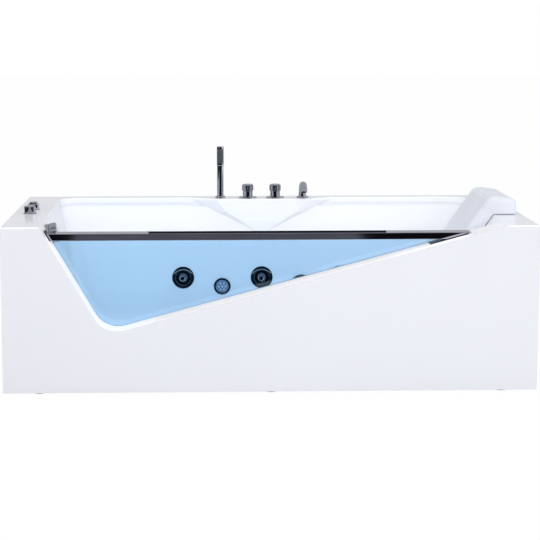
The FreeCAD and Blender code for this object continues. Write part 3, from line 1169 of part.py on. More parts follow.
def make_push_button():
    top_z = RIM_Z + CONTROL_HEIGHT
    head_z = RIM_Z + CONTROL_FLANGE_T + BUTTON_TRAVEL + 1
    stem_z = DECK_UNDER_Z - 34 + BUTTON_TRAVEL + 1
    profile = [(0, stem_z), (SPINDLE_RADIUS, stem_z), (SPINDLE_RADIUS, head_z), (BUTTON_RADIUS, head_z),
               (BUTTON_RADIUS, top_z - 3), (BUTTON_RADIUS - 3, top_z - 0.8), (0, top_z)]
    return revolved(profile, V(CONTROL_X, BUTTON_Y, 0))


# ---------------------------------------------------------------- tap set
def make_knob(x):
    base_z = RIM_Z + BASE_PLATE_T + TOUCH
    skirt_z = RIM_Z + BASE_PLATE_T + KNOB_SKIRT_HEIGHT
    top_z = skirt_z + KNOB_CAP_HEIGHT
    profile = [(0, RIM_Z - THREAD_LENGTH), (SPINDLE_RADIUS, RIM_Z - THREAD_LENGTH),
               (SPINDLE_RADIUS, base_z), (KNOB_SKIRT_RADIUS, base_z), (KNOB_SKIRT_RADIUS, skirt_z),
               (KNOB_CAP_RADIUS, skirt_z + 3), (KNOB_CAP_RADIUS, top_z - 4),
               (KNOB_CAP_RADIUS - 5, top_z), (0, top_z)]
    knob = revolved(profile, V(x, TAP_Y, 0))
    for index in range(KNOB_GRIPS):
        angle = math.radians(360 * index / KNOB_GRIPS)
        place = V(x + (KNOB_CAP_RADIUS + 1.2) * math.cos(angle),
                  TAP_Y + (KNOB_CAP_RADIUS + 1.2) * math.sin(angle), skirt_z + 5)
        knob = knob.cut(rod(2.4, KNOB_CAP_HEIGHT, place))
    return knob


def make_valve_bodies():
    bodies = []
    bore = SPINDLE_RADIUS + BEARING_CLEARANCE
    thread_z = RIM_Z - THREAD_LENGTH
    low_z = thread_z - VALVE_BODY_LENGTH
    for x in TAP_XS[1:3]:
        profile = [(bore, thread_z - 4), (bore, RIM_Z + BASE_PLATE_T - TOUCH),
                   (VALVE_THREAD_RADIUS, RIM_Z + BASE_PLATE_T - TOUCH), (VALVE_THREAD_RADIUS, thread_z),
                   (VALVE_BODY_RADIUS, thread_z - 3), (VALVE_BODY_RADIUS, low_z), (0, low_z),
                   (0, thread_z - 4)]
        body = revolved(profile, V(x, TAP_Y, 0))
        for side in (-1, 1):
            body = body.fuse(rod(9, VALVE_BODY_RADIUS + 10, V(x, TAP_Y, low_z + 16), V(side, 0, 0)))
        bodies.append(body)
    return Part.makeCompound(bodies)


def make_deck_base_plates():
    plates = []
    for x in TAP_XS[1:3]:
        profile = [(VALVE_THREAD_RADIUS + TOUCH, RIM_Z), (BASE_PLATE_RADIUS, RIM_Z),
                   (BASE_PLATE_RADIUS, RIM_Z + BASE_PLATE_T - 1.5),
                   (BASE_PLATE_RADIUS - 1.5, RIM_Z + BASE_PLATE_T),
                   (VALVE_THREAD_RADIUS + TOUCH, RIM_Z + BASE_PLATE_T)]
        plates.append(revolved(profile, V(x, TAP_Y, 0)))
    return Part.makeCompound(plates)


def make_hand_shower_holder():
    bore = HANDLE_RADIUS + HANDLE_CLEARANCE
    floor_z = RIM_Z - HANDLE_BELOW
    profile = [(NIPPLE_RADIUS + 1, floor_z - 4 - TOUCH), (NIPPLE_RADIUS + 1, floor_z - TOUCH),
               (bore, floor_z - TOUCH), (bore, RIM_Z + HOLDER_FLANGE_T),
               (HOLDER_FLANGE_RADIUS - 3, RIM_Z + HOLDER_FLANGE_T),
               (HOLDER_FLANGE_RADIUS, RIM_Z + HOLDER_FLANGE_T - 3), (HOLDER_FLANGE_RADIUS, RIM_Z),
               (HOLDER_SLEEVE_RADIUS, RIM_Z), (HOLDER_SLEEVE_RADIUS, floor_z - 4 - TOUCH)]
    return revolved(profile, V(TAP_XS[0], TAP_Y, 0))


def make_hand_shower():
    x = TAP_XS[0]
    low_z = RIM_Z - HANDLE_BELOW
    top_z = RIM_Z + SHOWER_HEIGHT
    head_z = top_z - HEAD_LENGTH
    profile = [(0, low_z - NIPPLE_LENGTH), (NIPPLE_RADIUS, low_z - NIPPLE_LENGTH), (NIPPLE_RADIUS, low_z),
               (HANDLE_RADIUS, low_z), (HANDLE_RADIUS, head_z - 2), (HEAD_RADIUS, head_z),
               (HEAD_RADIUS, top_z - 2), (HEAD_RADIUS - 2, top_z), (0, top_z)]
    body = revolved(profile, V(x, TAP_Y, 0))
    seat = box(x - HEAD_RADIUS, x + HEAD_RADIUS, TAP_Y - HEAD_RADIUS, TAP_Y - SPRAY_FLAT,
               head_z + 6, top_z - 9)
    return body.cut(seat)


def make_spray_face():
    x = TAP_XS[0]
    top_z = RIM_Z + SHOWER_HEIGHT
    half = math.sqrt(HEAD_RADIUS ** 2 - SPRAY_FLAT ** 2) - TOUCH
    plate = box(x - half, x + half, TAP_Y - SPRAY_FLAT - SPRAY_T, TAP_Y - SPRAY_FLAT,
                top_z - HEAD_LENGTH + 6 + TOUCH, top_z - 9 - TOUCH)
    plate = plate.common(rod(HEAD_RADIUS, SHOWER_HEIGHT, V(x, TAP_Y, RIM_Z)))
    for row in range(SPRAY_ROWS):
        for column in (-1, 0, 1):
            place = V(x + column * half * SPRAY_COLUMN_SHARE, TAP_Y - SPRAY_FLAT - SPRAY_T - 1,
                      top_z - HEAD_LENGTH + SPRAY_FROM_HEAD_FOOT + row * SPRAY_PITCH)
            plate = plate.cut(rod(SPRAY_HOLE_RADIUS, SPRAY_T + 0.2, place, V(0, 1, 0)))
    return plate


def make_spout():
    """Arched spout on a round flange, its pipe bent over forward to the outlet."""
    x = TAP_XS[3]
    base_z = RIM_Z
    stem_z = base_z + SPOUT_STEM
    flange = revolved([(0, base_z), (SPOUT_FLANGE_RADIUS, base_z), (SPOUT_FLANGE_RADIUS, base_z + 2),
                       (SPOUT_FLANGE_RADIUS - 3, base_z + SPOUT_FLANGE_T), (0, base_z + SPOUT_FLANGE_T)],
                      V(x, TAP_Y, 0))

    def arch(radius):
        disc = Part.Face(Part.Wire(Part.makeCircle(radius, V(x, TAP_Y, stem_z), V(0, 0, 1))))
        stem = disc.extrude(V(0, 0, base_z + SPOUT_FLANGE_T / 2 - stem_z))
        bend = disc.revolve(V(x, TAP_Y - SPOUT_BEND, stem_z), V(1, 0, 0), SPOUT_SWEEP)
        return stem, bend

    stem, bend = arch(SPOUT_RADIUS)
    bore_stem, bore_bend = arch(SPOUT_BORE)
    tail = rod(SPOUT_TAIL_RADIUS, THREAD_LENGTH, V(x, TAP_Y, base_z - THREAD_LENGTH))
    tail_bore = rod(SPOUT_TAIL_RADIUS - 3, THREAD_LENGTH + SPOUT_FLANGE_T,
                    V(x, TAP_Y, base_z - THREAD_LENGTH - 1))
    body = flange.fuse([stem, bend, tail])
    return body.cut(bore_bend).cut(bore_stem).cut(tail_bore)


# ---------------------------------------------------------------- headrest
def make_headrest():
    """Soft pad that hooks over the right deck and lies down the backrest, with two pins."""
    along = V(-math.cos(math.radians(BACKREST_ANGLE)), 0, -math.sin(math.radians(BACKREST_ANGLE)))
    out = V(along.z, 0, -along.x)
    rim = V(RIM_RIGHT_X, 0, RIM_Z + PAD_CLEARANCE)
    heel = V(RIM_RIGHT_X + PAD_DECK_LENGTH, 0, RIM_Z + PAD_CLEARANCE)
    inner = rim + out * PAD_CLEARANCE
    toe_inner = inner + along * PAD_SLOPE_LENGTH
    stations = [(-1.0, 1.0), (-0.95, 0.3), (-0.7, 0.0), (0.7, 0.0), (0.95, 0.3), (1.0, 1.0)]
    wires = []
    for share, drawn in stations:
        inset = drawn * PAD_DRAW_IN
        end_inset = inset * PAD_TAPER
        thick = PAD_T - inset
        heel_low = heel - V(end_inset, 0, 0)
        toe_low = toe_inner - along * end_inset
        toe_outer = toe_low + out * thick
        crest_run = inner + out * thick
        crest = crest_run + along * ((RIM_Z + PAD_CREST_HEIGHT - inset - crest_run.z) / along.z)
        corners = [heel_low, heel_low + V(0, 0, PAD_REAR_HEIGHT - inset), crest, toe_outer, toe_low, inner]
        radii = [EDGE_RADIUS, PAD_EDGE, PAD_NOSE, PAD_TOE, PAD_EDGE - 2, 0]
        wire = rounded_wire(corners, radii)
        wire.translate(V(0, share * PAD_LENGTH / 2, 0))
        wires.append(wire)
    pad = Part.makeLoft(wires, True, True)
    for y in (-PIN_SPREAD, PIN_SPREAD):
        foot = V(RIM_RIGHT_X + PIN_FROM_EDGE, y, RIM_Z - PIN_LENGTH)
        pad = pad.fuse(rod(PIN_RADIUS, PIN_LENGTH + PAD_CLEARANCE + PIN_ROOT, foot))
    return pad


# ---------------------------------------------------------------- all nodes
def build_nodes():
    nodes = {}
    nodes["basin_shell"] = drill_basin(make_basin_shell())
    nodes["front_apron"] = make_front_apron()
    nodes["left_apron"] = make_end_apron(-1)
    nodes["right_apron"] = make_end_apron(1)
    nodes["window_glass"] = make_window_glass()
    nodes["glass_seal"] = make_glass_seal()
    nodes["cap_rail"] = make_cap_rail()
    nodes["rail_end_plates"] = make_rail_end_plates()
    nodes["rail_screws"] = make_rail_screws()
    nodes["frame_rail_front"] = make_frame_rail(-1)
    nodes["frame_rail_rear"] = make_frame_rail(1)
    for name, x in zip(("left", "middle", "right"), CROSS_XS):
        nodes["frame_cross_" + name] = make_frame_cross(x)
    nodes["frame_posts"] = make_frame_posts()
    nodes["base_board"] = make_base_board()
    nodes["levelling_feet"] = make_levelling_feet()
    nodes["foot_lock_nuts"] = make_foot_lock_nuts()
    nodes["waste_body"] = make_waste_body()
    nodes["popup_plug"] = make_popup_plug()
    nodes["waste_trap"] = make_waste_trap()
    nodes["overflow_body"] = make_overflow_body()
    nodes["overflow_knob"] = make_overflow_knob()
    nodes["overflow_pipe"] = make_overflow_pipe()
    for number, x in enumerate(JET_XS, start=1):
        nodes["jet_body_%d" % number] = make_jet_body(x)
        nodes["jet_nozzle_%d" % number] = make_jet_nozzle(x)
    nodes["jet_rings"] = make_jet_rings()
    nodes["light_ring"] = make_light_ring()
    nodes["light_lens"] = make_light_lens()
    nodes["light_body"] = make_light_body()
    nodes["suction_body"] = make_suction_body()
    nodes["suction_grille"] = make_suction_grille()
    nodes["fitting_lock_nuts"] = make_fitting_lock_nuts()
    nodes["pump_housing"] = make_pump_housing()
    nodes["pump_motor"] = make_pump_motor()
    nodes["pump_rotor"] = make_pump_rotor()
    nodes["pump_bracket"] = make_pump_bracket()
    nodes["pump_bolts"] = make_pump_bolts()
    nodes["water_manifold"] = make_water_manifold()
    nodes["suction_pipe"] = make_suction_pipe()
    nodes["air_manifold"] = make_air_manifold()
    nodes["control_box"] = make_control_box()
    nodes["air_valve"] = make_air_valve()
    nodes["air_knob"] = make_air_knob()
    nodes["button_body"] = make_button_body()
    nodes["push_button"] = make_push_button()
    nodes["diverter_knob"] = make_knob(TAP_XS[1])
    nodes["mixer_knob"] = make_knob(TAP_XS[2])
    nodes["valve_bodies"] = make_valve_bodies()
    nodes["deck_base_plates"] = make_deck_base_plates()
    nodes["hand_shower_holder"] = make_hand_shower_holder()
    nodes["hand_shower"] = make_hand_shower()
    nodes["spray_face"] = make_spray_face()
    nodes["spout"] = make_spout()
    nodes["headrest"] = make_headrest()
    return nodes


def main():
    os.makedirs("parts", exist_ok=True)
    for name, shape in build_nodes().items():
        shape.exportStep("parts/" + name + ".step")
        print(name, len(shape.Solids), "solids", round(shape.Volume), "mm3", shape.isValid())


if __name__ == "__main__":
    main()
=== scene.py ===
"""Dresses a packed jetted bathtub: finishes for every part, soft pieces, fine fittings and a plain studio."""

import json
import math

import bmesh
import bpy
from bpy.props import FloatProperty, FloatVectorProperty, IntProperty, PointerProperty
from mathutils import Matrix, Vector


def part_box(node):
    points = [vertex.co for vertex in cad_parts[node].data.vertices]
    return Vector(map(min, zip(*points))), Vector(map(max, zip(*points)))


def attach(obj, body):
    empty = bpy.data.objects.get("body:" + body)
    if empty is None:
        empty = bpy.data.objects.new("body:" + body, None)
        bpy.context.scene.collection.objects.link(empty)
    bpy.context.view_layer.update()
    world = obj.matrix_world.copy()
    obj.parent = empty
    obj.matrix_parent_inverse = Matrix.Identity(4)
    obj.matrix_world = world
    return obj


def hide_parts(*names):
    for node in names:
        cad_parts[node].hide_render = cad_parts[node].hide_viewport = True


bl_info = {
    "name": "Jetted Bathtub Dresser",
    "version": (1, 0, 0),
    "blender": (4, 5, 0),
    "location": "View3D > Sidebar > Bathtub",
    "description": "Finishes, soft pieces, fine fittings and studio for a jetted bathtub",
    "category": "Object",
}

COOL_WHITE = (0.982, 0.991, 1.018)
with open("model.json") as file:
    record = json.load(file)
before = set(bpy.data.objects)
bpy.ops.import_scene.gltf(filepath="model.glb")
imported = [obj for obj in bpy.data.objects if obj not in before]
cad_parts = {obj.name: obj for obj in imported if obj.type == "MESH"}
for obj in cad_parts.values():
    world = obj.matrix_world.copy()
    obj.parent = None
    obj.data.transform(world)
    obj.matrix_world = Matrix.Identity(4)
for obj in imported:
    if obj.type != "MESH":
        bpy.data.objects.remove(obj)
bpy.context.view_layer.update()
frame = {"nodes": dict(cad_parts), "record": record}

# All lengths and places are in metres. Share of the acrylic's white, and its gleam, in the shell and in the panels;
# the panels' lower share is painted shade on the same acrylic.
SHELL_GLOSS = (1.0, 0.30)
PANEL_SHADE_AND_GLOSS = (0.80, 0.04)

# Heights at which the painted shade line along the shell's back wall, where the moulding steps, starts, is full,
# ebbs and ends, and where it may show.
LEDGE_SHADE_HEIGHTS = (0.532, 0.541, 0.544, 0.549)
LINE_FROM_MIDDLE = (0.22, 0.30)
LINE_BEHIND = (0.20, 0.24)
LINE_SHADE = (0.86, 0.88, 0.92)
# Painted glow low in the shell, standing in for light: heights where it fades out, and its strength.
LOW_LIGHT_HEIGHTS = (0.20, 0.45)
LOW_LIGHT = 0.09

# The painted glow in the window's reveal, which stands in for light there: depths behind the panel's face, heights,
# its gain below them and its base.
REVEAL_DEPTHS = (0.001, 0.003)
REVEAL_HEIGHTS = (0.520, 0.535)
REVEAL_GLOW_BELOW = 0.34
REVEAL_GLOW = 0.12

# Headrest: corners of its side outline, and rings across it as (share of half the width, how far drawn in).
HEEL, HEEL_TOP, CREST, TOE_TOP, TOE, RIM = range(6)
PAD_RINGS = ((-1.0, 0.04), (-0.92, 0.0), (-0.4, 0.0), (0.4, 0.0), (0.92, 0.0), (1.0, 0.04))
PAD_GAP = 0.0006
PAD_REACH = 0.012
CREST_ROUNDING = 0.013
EDGE_ROUNDING = 0.006
CLOTH_STEPS = 12
PIN_LENGTH = 0.026
PIN_SINK = 0.007
PIN_FROM_HEEL = 0.032
PIN_FROM_MIDDLE = 0.090

# Hand shower.
NOZZLE_BASE = 0.0009
NOZZLE_TIP = 0.00055
NOZZLE_LENGTH = 0.0026
NOZZLE_PITCH = 0.0055
NOZZLE_MARGIN = 0.0067
NOZZLE_COLUMN = 0.45

# Jets and light, in the frame of the wall: the visor's share of its ring, and the outlet's turn and tilt.
VISOR_RADIUS = 0.0456
VISOR_TUBE = 0.0009
VISOR_CUT = 0.63
VISOR_PLACE = (0.0, -0.0146, 0.0085)
EYELET_RADIUS = 0.0098
EYELET_TUBE = 0.0013
EYELET_RISE = 0.875
OUTLET_TURN = math.radians(230.0)
OUTLET_TILT = math.radians(14.0)
CELL_RADIUS = 0.0042
CELL_FLATNESS = 0.45
CELL_DEPTH_MIDDLE = -0.0012
CELL_DEPTH_RING = -0.0022

# Clamps on the water pipes: X, Y and Z of each and the pipe's radius, then the parts of a clamp.
CLAMP_PLACES = (
    (0.215, 0.387, 0.114, 0.017), (0.560, 0.387, 0.114, 0.017),
    (-0.235, 0.422, 0.170, 0.016), (-0.070, 0.422, 0.170, 0.016), (0.070, 0.422, 0.170, 0.016),
    (0.235, 0.422, 0.170, 0.016), (0.560, 0.422, 0.170, 0.016),
)
BAND_GAP = 0.0002
BAND_THICKNESS = 0.0010
WORM_RISE = 0.0042
WORM_DEPTH = 0.014
WORM_HEIGHT = 0.0066
CLAMP_SCREW = (0.0036, 0.005, 0.0094)

# Screws of the control box: distance from the lid's edges, radius and height.
LID_SCREW_INSET = (0.011, 0.014)
LID_SCREW = (0.0038, 0.003)

# Cards that only polished surfaces see: name, place, size, colour and turn.
UPRIGHT = (math.pi / 2, 0.0, 0.0)
SIDEWAYS = (0.0, math.pi / 2, 0.0)
CARDS = (
    ("dark_card", (0.0, -4.35, 0.002), (9.0, 6.3), (0.006, 0.006, 0.008), (0.0, 0.0, 0.0)),
    ("grey_card", (-0.135, -4.05, 0.004), (1.67, 0.8), (0.155, 0.16, 0.175), (0.0, 0.0, 0.0)),
    ("back_card", (0.0, -7.6, 1.8), (9.0, 3.6), (0.02, 0.021, 0.026), UPRIGHT),
    ("flag_card", (0.0, -0.15, 0.38), (0.84, 0.46), (0.012, 0.013, 0.018), UPRIGHT),
    ("left_card", (-4.2, -1.5, 0.75), (1.5, 7.0), (0.03, 0.03, 0.035), SIDEWAYS),
    ("right_card", (4.2, -3.7, 0.75), (1.5, 4.0), (0.03, 0.03, 0.035), SIDEWAYS),
    ("bright_card", (4.2, -0.3, 0.75), (1.5, 2.6), (1.5, 1.5, 1.55), SIDEWAYS),
)

NODE_FINISHES = {
    "front_apron": "apron_white",
    "basin_shell": "shell_white",
    "left_apron": "panel_white",
    "right_apron": "panel_white",
    "rail_end_plates": "shaded_plate_steel",
    "jet_rings": "shaded_chrome",
    "light_ring": "shaded_chrome",
}


# ---------------------------------------------------------------- settings

LENGTH = {"subtype": "DISTANCE", "unit": "LENGTH"}
ANGLE = {"subtype": "ANGLE", "unit": "ROTATION"}
COLOUR = {"subtype": "COLOR", "min": 0.0, "max": 1.0}


class BathFinishSettings(bpy.types.PropertyGroup):
    """Colours and gloss of the finishes, colours in linear light."""

    acrylic: FloatVectorProperty(
        name="Acrylic", description="White of the shell and the panels",
        default=(0.930, 0.936, 0.966), **COLOUR)
    acrylic_gloss: FloatProperty(
        name="Acrylic roughness", description="Roughness of the polished acrylic",
        default=0.14, min=0.0, max=1.0, subtype="FACTOR")
    glass: FloatVectorProperty(
        name="Glass", description="Tint of the window, as it colours what is behind it",
        default=(0.490, 0.745, 0.965), **COLOUR)
    chrome: FloatVectorProperty(
        name="Chrome", description="Polished chrome of the taps and fittings",
        default=(0.56, 0.58, 0.63), **COLOUR)
    # The rail's colour is darker and bluer than the chrome, as a painted reflection.
    rail: FloatVectorProperty(
        name="Rail metal", description="Smoked polished metal of the rail on the glass",
        default=(0.50, 0.50, 0.60), **COLOUR)
    pad: FloatVectorProperty(
        name="Headrest skin", description="Pale grey moulded skin of the headrest",
        default=(0.765, 0.785, 0.845), **COLOUR)


class BathPieceSettings(bpy.types.PropertyGroup):
    """Sizes of the pieces that are modelled here."""

    pad_deck_length: FloatProperty(
        name="Pad on the deck", description="Length of the headrest that lies on the deck",
        default=0.080, min=0.02, max=0.2, **LENGTH)
    pad_slope_length: FloatProperty(
        name="Pad on the backrest", description="Length of the headrest down the backrest",
        default=0.200, min=0.05, max=0.4, **LENGTH)
    pad_thickness: FloatProperty(
        name="Pad thickness", description="Thickness of the headrest on the backrest",
        default=0.047, min=0.01, max=0.1, **LENGTH)
    pad_heel_height: FloatProperty(
        name="Pad heel", description="Height of the headrest's outer end above the deck",
        default=0.052, min=0.01, max=0.1, **LENGTH)
    pad_crest_height: FloatProperty(
        name="Pad crest", description="Height of the headrest's crest above the deck, before it is rounded",
        default=0.066, min=0.01, max=0.1, **LENGTH)
    backrest_angle: FloatProperty(
        name="Backrest angle", description="Slope of the backrest above the level",
        default=math.radians(55.0), min=0.5, max=1.5, **ANGLE)
    pad_crown: FloatProperty(
        name="Pad crown", description="How far the padded faces may swell",
        default=0.002, min=0.0, max=0.02, **LENGTH)
    pad_mesh: FloatProperty(
        name="Pad mesh size", description="Voxel size of the headrest before it is inflated",
        default=0.0035, min=0.002, max=0.02, **LENGTH)
    pin_radius: FloatProperty(
        name="Pin radius", description="Radius of the two pins under the headrest",
        default=0.005, min=0.001, max=0.02, **LENGTH)
    wall_lean: FloatProperty(
        name="Wall lean", description="How far the wall with the jets leans back from upright",
        default=math.radians(5.8), min=0.0, max=1.0, **ANGLE)
    light_cell_ring: FloatProperty(
        name="Cell ring", description="Radius of the ring of raised cells in the light's lens",
        default=0.0125, min=0.002, max=0.05, **LENGTH)
    clamp_width: FloatProperty(
        name="Clamp width", description="Width of the hose clamps' bands",
        default=0.009, min=0.004, max=0.03, **LENGTH)
    nozzle_rows: IntProperty(
        name="Nozzle rows", description="Rows of rubber nozzles in the hand shower",
        default=9, min=1, max=20)


class BathStageSettings(bpy.types.PropertyGroup):
    """Camera, lamps and surroundings."""

    camera_place: FloatVectorProperty(
        name="Camera place", description="Where the camera stands",
        default=(-0.239, -5.432, 1.236), subtype="TRANSLATION", unit="LENGTH")
    camera_turn: FloatProperty(
        name="Camera turn", description="Turn of the camera to the right of straight ahead",
        default=math.radians(1.857), **ANGLE)
    camera_dip: FloatProperty(
        name="Camera dip", description="Tilt of the camera below the level",
        default=math.radians(6.858), **ANGLE)
    lens: FloatProperty(
        name="Lens", description="Focal length on a 36 mm wide sensor, in millimetres",
        default=100.89, min=10.0, max=300.0)
    shift: FloatVectorProperty(
        name="Lens shift", description="Shift of the picture, in picture widths",
        default=(0.04, -0.12), size=2)
    sky: FloatProperty(
        name="Sky strength", description="Strength of the even light from all sides",
        default=0.78, min=0.0, max=5.0)
    mirrored: FloatProperty(
        name="Mirrored room", description="Strength of the room as polished surfaces reflect it",
        default=0.50, min=0.0, max=5.0)
    front_power: FloatProperty(
        name="Front lamp", description="Power of the large lamp in front, in watts",
        default=120.0, min=0.0)
    top_power: FloatProperty(
        name="Top lamp", description="Power of the large lamp overhead, in watts",
        default=31.0, min=0.0)


# ---------------------------------------------------------------- material tools


def new_finish(name, colour, roughness, metallic=0.0):
    """A material with one Principled shader and its plain values set."""
    material = bpy.data.materials.new(name)
    material.use_nodes = True
    shader = material.node_tree.nodes["Principled BSDF"]
    shader.inputs["Base Color"].default_value = (*colour, 1.0)
    shader.inputs["Roughness"].default_value = roughness
    shader.inputs["Metallic"].default_value = metallic
    return material


def shader_of(material):
    return material.node_tree.nodes["Principled BSDF"]


def pattern(material, kind, scale, stretch=(1.0, 1.0, 1.0), **values):
    """A texture node fixed to the piece's own coordinates, in repeats to the metre."""
    tree = material.node_tree
    places = tree.nodes.new("ShaderNodeTexCoord")
    mapping = tree.nodes.new("ShaderNodeMapping")
    mapping.inputs["Scale"].default_value = stretch
    texture = tree.nodes.new(kind)
    texture.inputs["Scale"].default_value = scale
    for socket, value in values.items():
        texture.inputs[socket].default_value = value
    tree.links.new(places.outputs["Object"], mapping.inputs["Vector"])
    tree.links.new(mapping.outputs["Vector"], texture.inputs["Vector"])
    return texture


def noise(material, scale, detail=3.0, stretch=(1.0, 1.0, 1.0)):
    return pattern(material, "ShaderNodeTexNoise", scale, stretch, Detail=detail).outputs["Fac"]


def cells(material, scale):
    return pattern(material, "ShaderNodeTexVoronoi", scale).outputs["Distance"]


def number(tree, kind, *values):
    """One step of arithmetic on numbers or on other nodes' outputs."""
    step = tree.nodes.new("ShaderNodeMath")
    step.operation = kind
    for socket, value in zip(step.inputs, values):
        if isinstance(value, float):
            socket.default_value = value
        else:
            tree.links.new(value, socket)
    return step.outputs[0]


def shade_between(material, factor, first, second, start=0.35, end=0.65):
    """Base colour that runs from one colour to another with a pattern."""
    tree = material.node_tree
    ramp = tree.nodes.new("ShaderNodeValToRGB")
    ramp.color_ramp.elements[0].position = start
    ramp.color_ramp.elements[0].color = (*first, 1.0)
    ramp.color_ramp.elements[1].position = end
    ramp.color_ramp.elements[1].color = (*second, 1.0)
    tree.links.new(factor, ramp.inputs["Fac"])
    tree.links.new(ramp.outputs["Color"], shader_of(material).inputs["Base Color"])


def rough_between(material, factor, smooth, rough):
    """Roughness that follows a pattern."""
    tree = material.node_tree
    span = tree.nodes.new("ShaderNodeMapRange")
    span.inputs["From Min"].default_value = 0.3
    span.inputs["From Max"].default_value = 0.7
    span.inputs["To Min"].default_value = smooth
    span.inputs["To Max"].default_value = rough
    tree.links.new(factor, span.inputs["Value"])
    tree.links.new(span.outputs["Result"], shader_of(material).inputs["Roughness"])


def relief(material, height, depth, strength=1.0):
    """Bump of a real depth in metres, laid over any relief that is there."""
    tree = material.node_tree
    bump = tree.nodes.new("ShaderNodeBump")
    bump.inputs["Distance"].default_value = depth
    bump.inputs["Strength"].default_value = strength
    tree.links.new(height, bump.inputs["Height"])
    normal = shader_of(material).inputs["Normal"]
    for link in normal.links:
        tree.links.new(link.from_socket, bump.inputs["Normal"])
    tree.links.new(bump.outputs["Normal"], normal)


def speckled(name, colour, roughness, metallic, shade, gloss=None, bump=None):
    """A finish whose colour, roughness and relief each follow noise of a scale of their own."""
    material = new_finish(name, colour, roughness, metallic)
    shade_between(material, noise(material, shade[0]), *shade[1:])
    if gloss:
        rough_between(material, noise(material, gloss[0]), *gloss[1:])
    if bump:
        relief(material, noise(material, bump[0]), *bump[1:])
    return material


def tinted(colour, share):
    return tuple(min(1.0, part * share) for part in colour)


# ---------------------------------------------------------------- finishes


def glossy_acrylic(look, name, share, gleam):
    """Vacuum-formed acrylic: deep gloss over a faint waviness, as pale as the share says."""
    material = new_finish(name, tinted(look.acrylic, share), look.acrylic_gloss)
    shade_between(material, noise(material, 1.7), tinted(look.acrylic, share - 0.015), tinted(look.acrylic, share))
    rough_between(material, noise(material, 7.0), look.acrylic_gloss, look.acrylic_gloss + 0.05)
    relief(material, noise(material, 16.0, 1.0), 0.0003, 0.25)
    shader_of(material).inputs["Specular IOR Level"].default_value = gleam
    shader_of(material).inputs["Coat Weight"].default_value = gleam / 4
    shader_of(material).inputs["Coat Roughness"].default_value = 0.05
    return material


def place_part(material, axis):
    """One of the piece's own coordinates, in metres."""
    tree = material.node_tree
    places = tree.nodes.new("ShaderNodeTexCoord")
    parts = tree.nodes.new("ShaderNodeSeparateXYZ")
    tree.links.new(places.outputs["Object"], parts.inputs[0])
    return parts.outputs[axis]


def rises_at(tree, value, start, end):
    """Nought below the start, one above the end and a soft run between them."""
    span = tree.nodes.new("ShaderNodeMapRange")
    span.interpolation_type = "SMOOTHSTEP"
    span.inputs["From Min"].default_value = start
    span.inputs["From Max"].default_value = end
    tree.links.new(value, span.inputs["Value"])
    return span.outputs["Result"]


def falls_at(tree, value, start, end):
    """One below the start, nought above the end and a soft run between them."""
    return number(tree, "SUBTRACT", 1.0, rises_at(tree, value, start, end))


def acrylic_white(look):
    return glossy_acrylic(look, "acrylic_white", *SHELL_GLOSS)


def shell_white(look):
    """Acrylic of the shell, with a painted shade line along the moulded step of its back wall and a painted glow
    low in it that stands in for light gathering there.
    """
    material = glossy_acrylic(look, "shell_white", *SHELL_GLOSS)
    tree = material.node_tree
    height = place_part(material, "Z")
    # Painted shade: a darker band at the ledge's height on the back wall, clear of the middle.
    line = number(
        tree, "MULTIPLY", rises_at(tree, height, *LEDGE_SHADE_HEIGHTS[:2]), falls_at(tree, height, *LEDGE_SHADE_HEIGHTS[2:]))
    clear = rises_at(tree, number(tree, "ABSOLUTE", place_part(material, "X")), *LINE_FROM_MIDDLE)
    behind = rises_at(tree, place_part(material, "Y"), *LINE_BEHIND)
    shade = number(tree, "MULTIPLY", line, number(tree, "MULTIPLY", clear, behind))
    deepen = tree.nodes.new("ShaderNodeMixRGB")
    deepen.blend_type = "MULTIPLY"
    deepen.inputs[2].default_value = (*LINE_SHADE, 1.0)
    base = shader_of(material).inputs["Base Color"]
    tree.links.new(base.links[0].from_socket, deepen.inputs[1])
    tree.links.new(shade, deepen.inputs[0])
    tree.links.new(deepen.outputs[0], base)
    # Painted light: an emission low in the shell that fades out above these heights, though the shell is no lamp.
    low = falls_at(tree, height, *LOW_LIGHT_HEIGHTS)
    shader_of(material).inputs["Emission Color"].default_value = (0.92, 0.96, 1.0, 1.0)
    tree.links.new(number(tree, "MULTIPLY", low, LOW_LIGHT), shader_of(material).inputs["Emission Strength"])
    return material


def apron_white(look):
    """Acrylic of the front panel, greyer as painted shade, with a painted glow in the narrow reveal round the
    window.
    """
    material = glossy_acrylic(look, "apron_white", *PANEL_SHADE_AND_GLOSS)
    tree = material.node_tree
    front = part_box("front_apron")[0].y
    # Painted light in the reveal: emission just behind the panel's face, stronger low down.
    inside = rises_at(tree, place_part(material, "Y"), *(front + depth for depth in REVEAL_DEPTHS))
    below = falls_at(tree, place_part(material, "Z"), *REVEAL_HEIGHTS)
    glow = number(tree, "MULTIPLY", inside, number(tree, "MULTIPLY_ADD", below, REVEAL_GLOW_BELOW, REVEAL_GLOW))
    shader_of(material).inputs["Emission Color"].default_value = (1.0, 0.96, 0.93, 1.0)
    tree.links.new(glow, shader_of(material).inputs["Emission Strength"])
    return material


def panel_white(look):
    """Acrylic of the side panels, less glossy than the shell, and greyer as painted shade."""
    return glossy_acrylic(look, "panel_white", *PANEL_SHADE_AND_GLOSS)


def glass_clear(look):
    """Tempered window with a blue tint and the faintest roll of float glass."""
    material = new_finish("glass_clear", look.glass, 0.0)
    shader_of(material).inputs["Transmission Weight"].default_value = 1.0
    shader_of(material).inputs["IOR"].default_value = 1.5
    rough_between(material, noise(material, 9.0), 0.0, 0.012)
    relief(material, noise(material, 5.0, 1.0), 0.0002, 0.2)
    return material


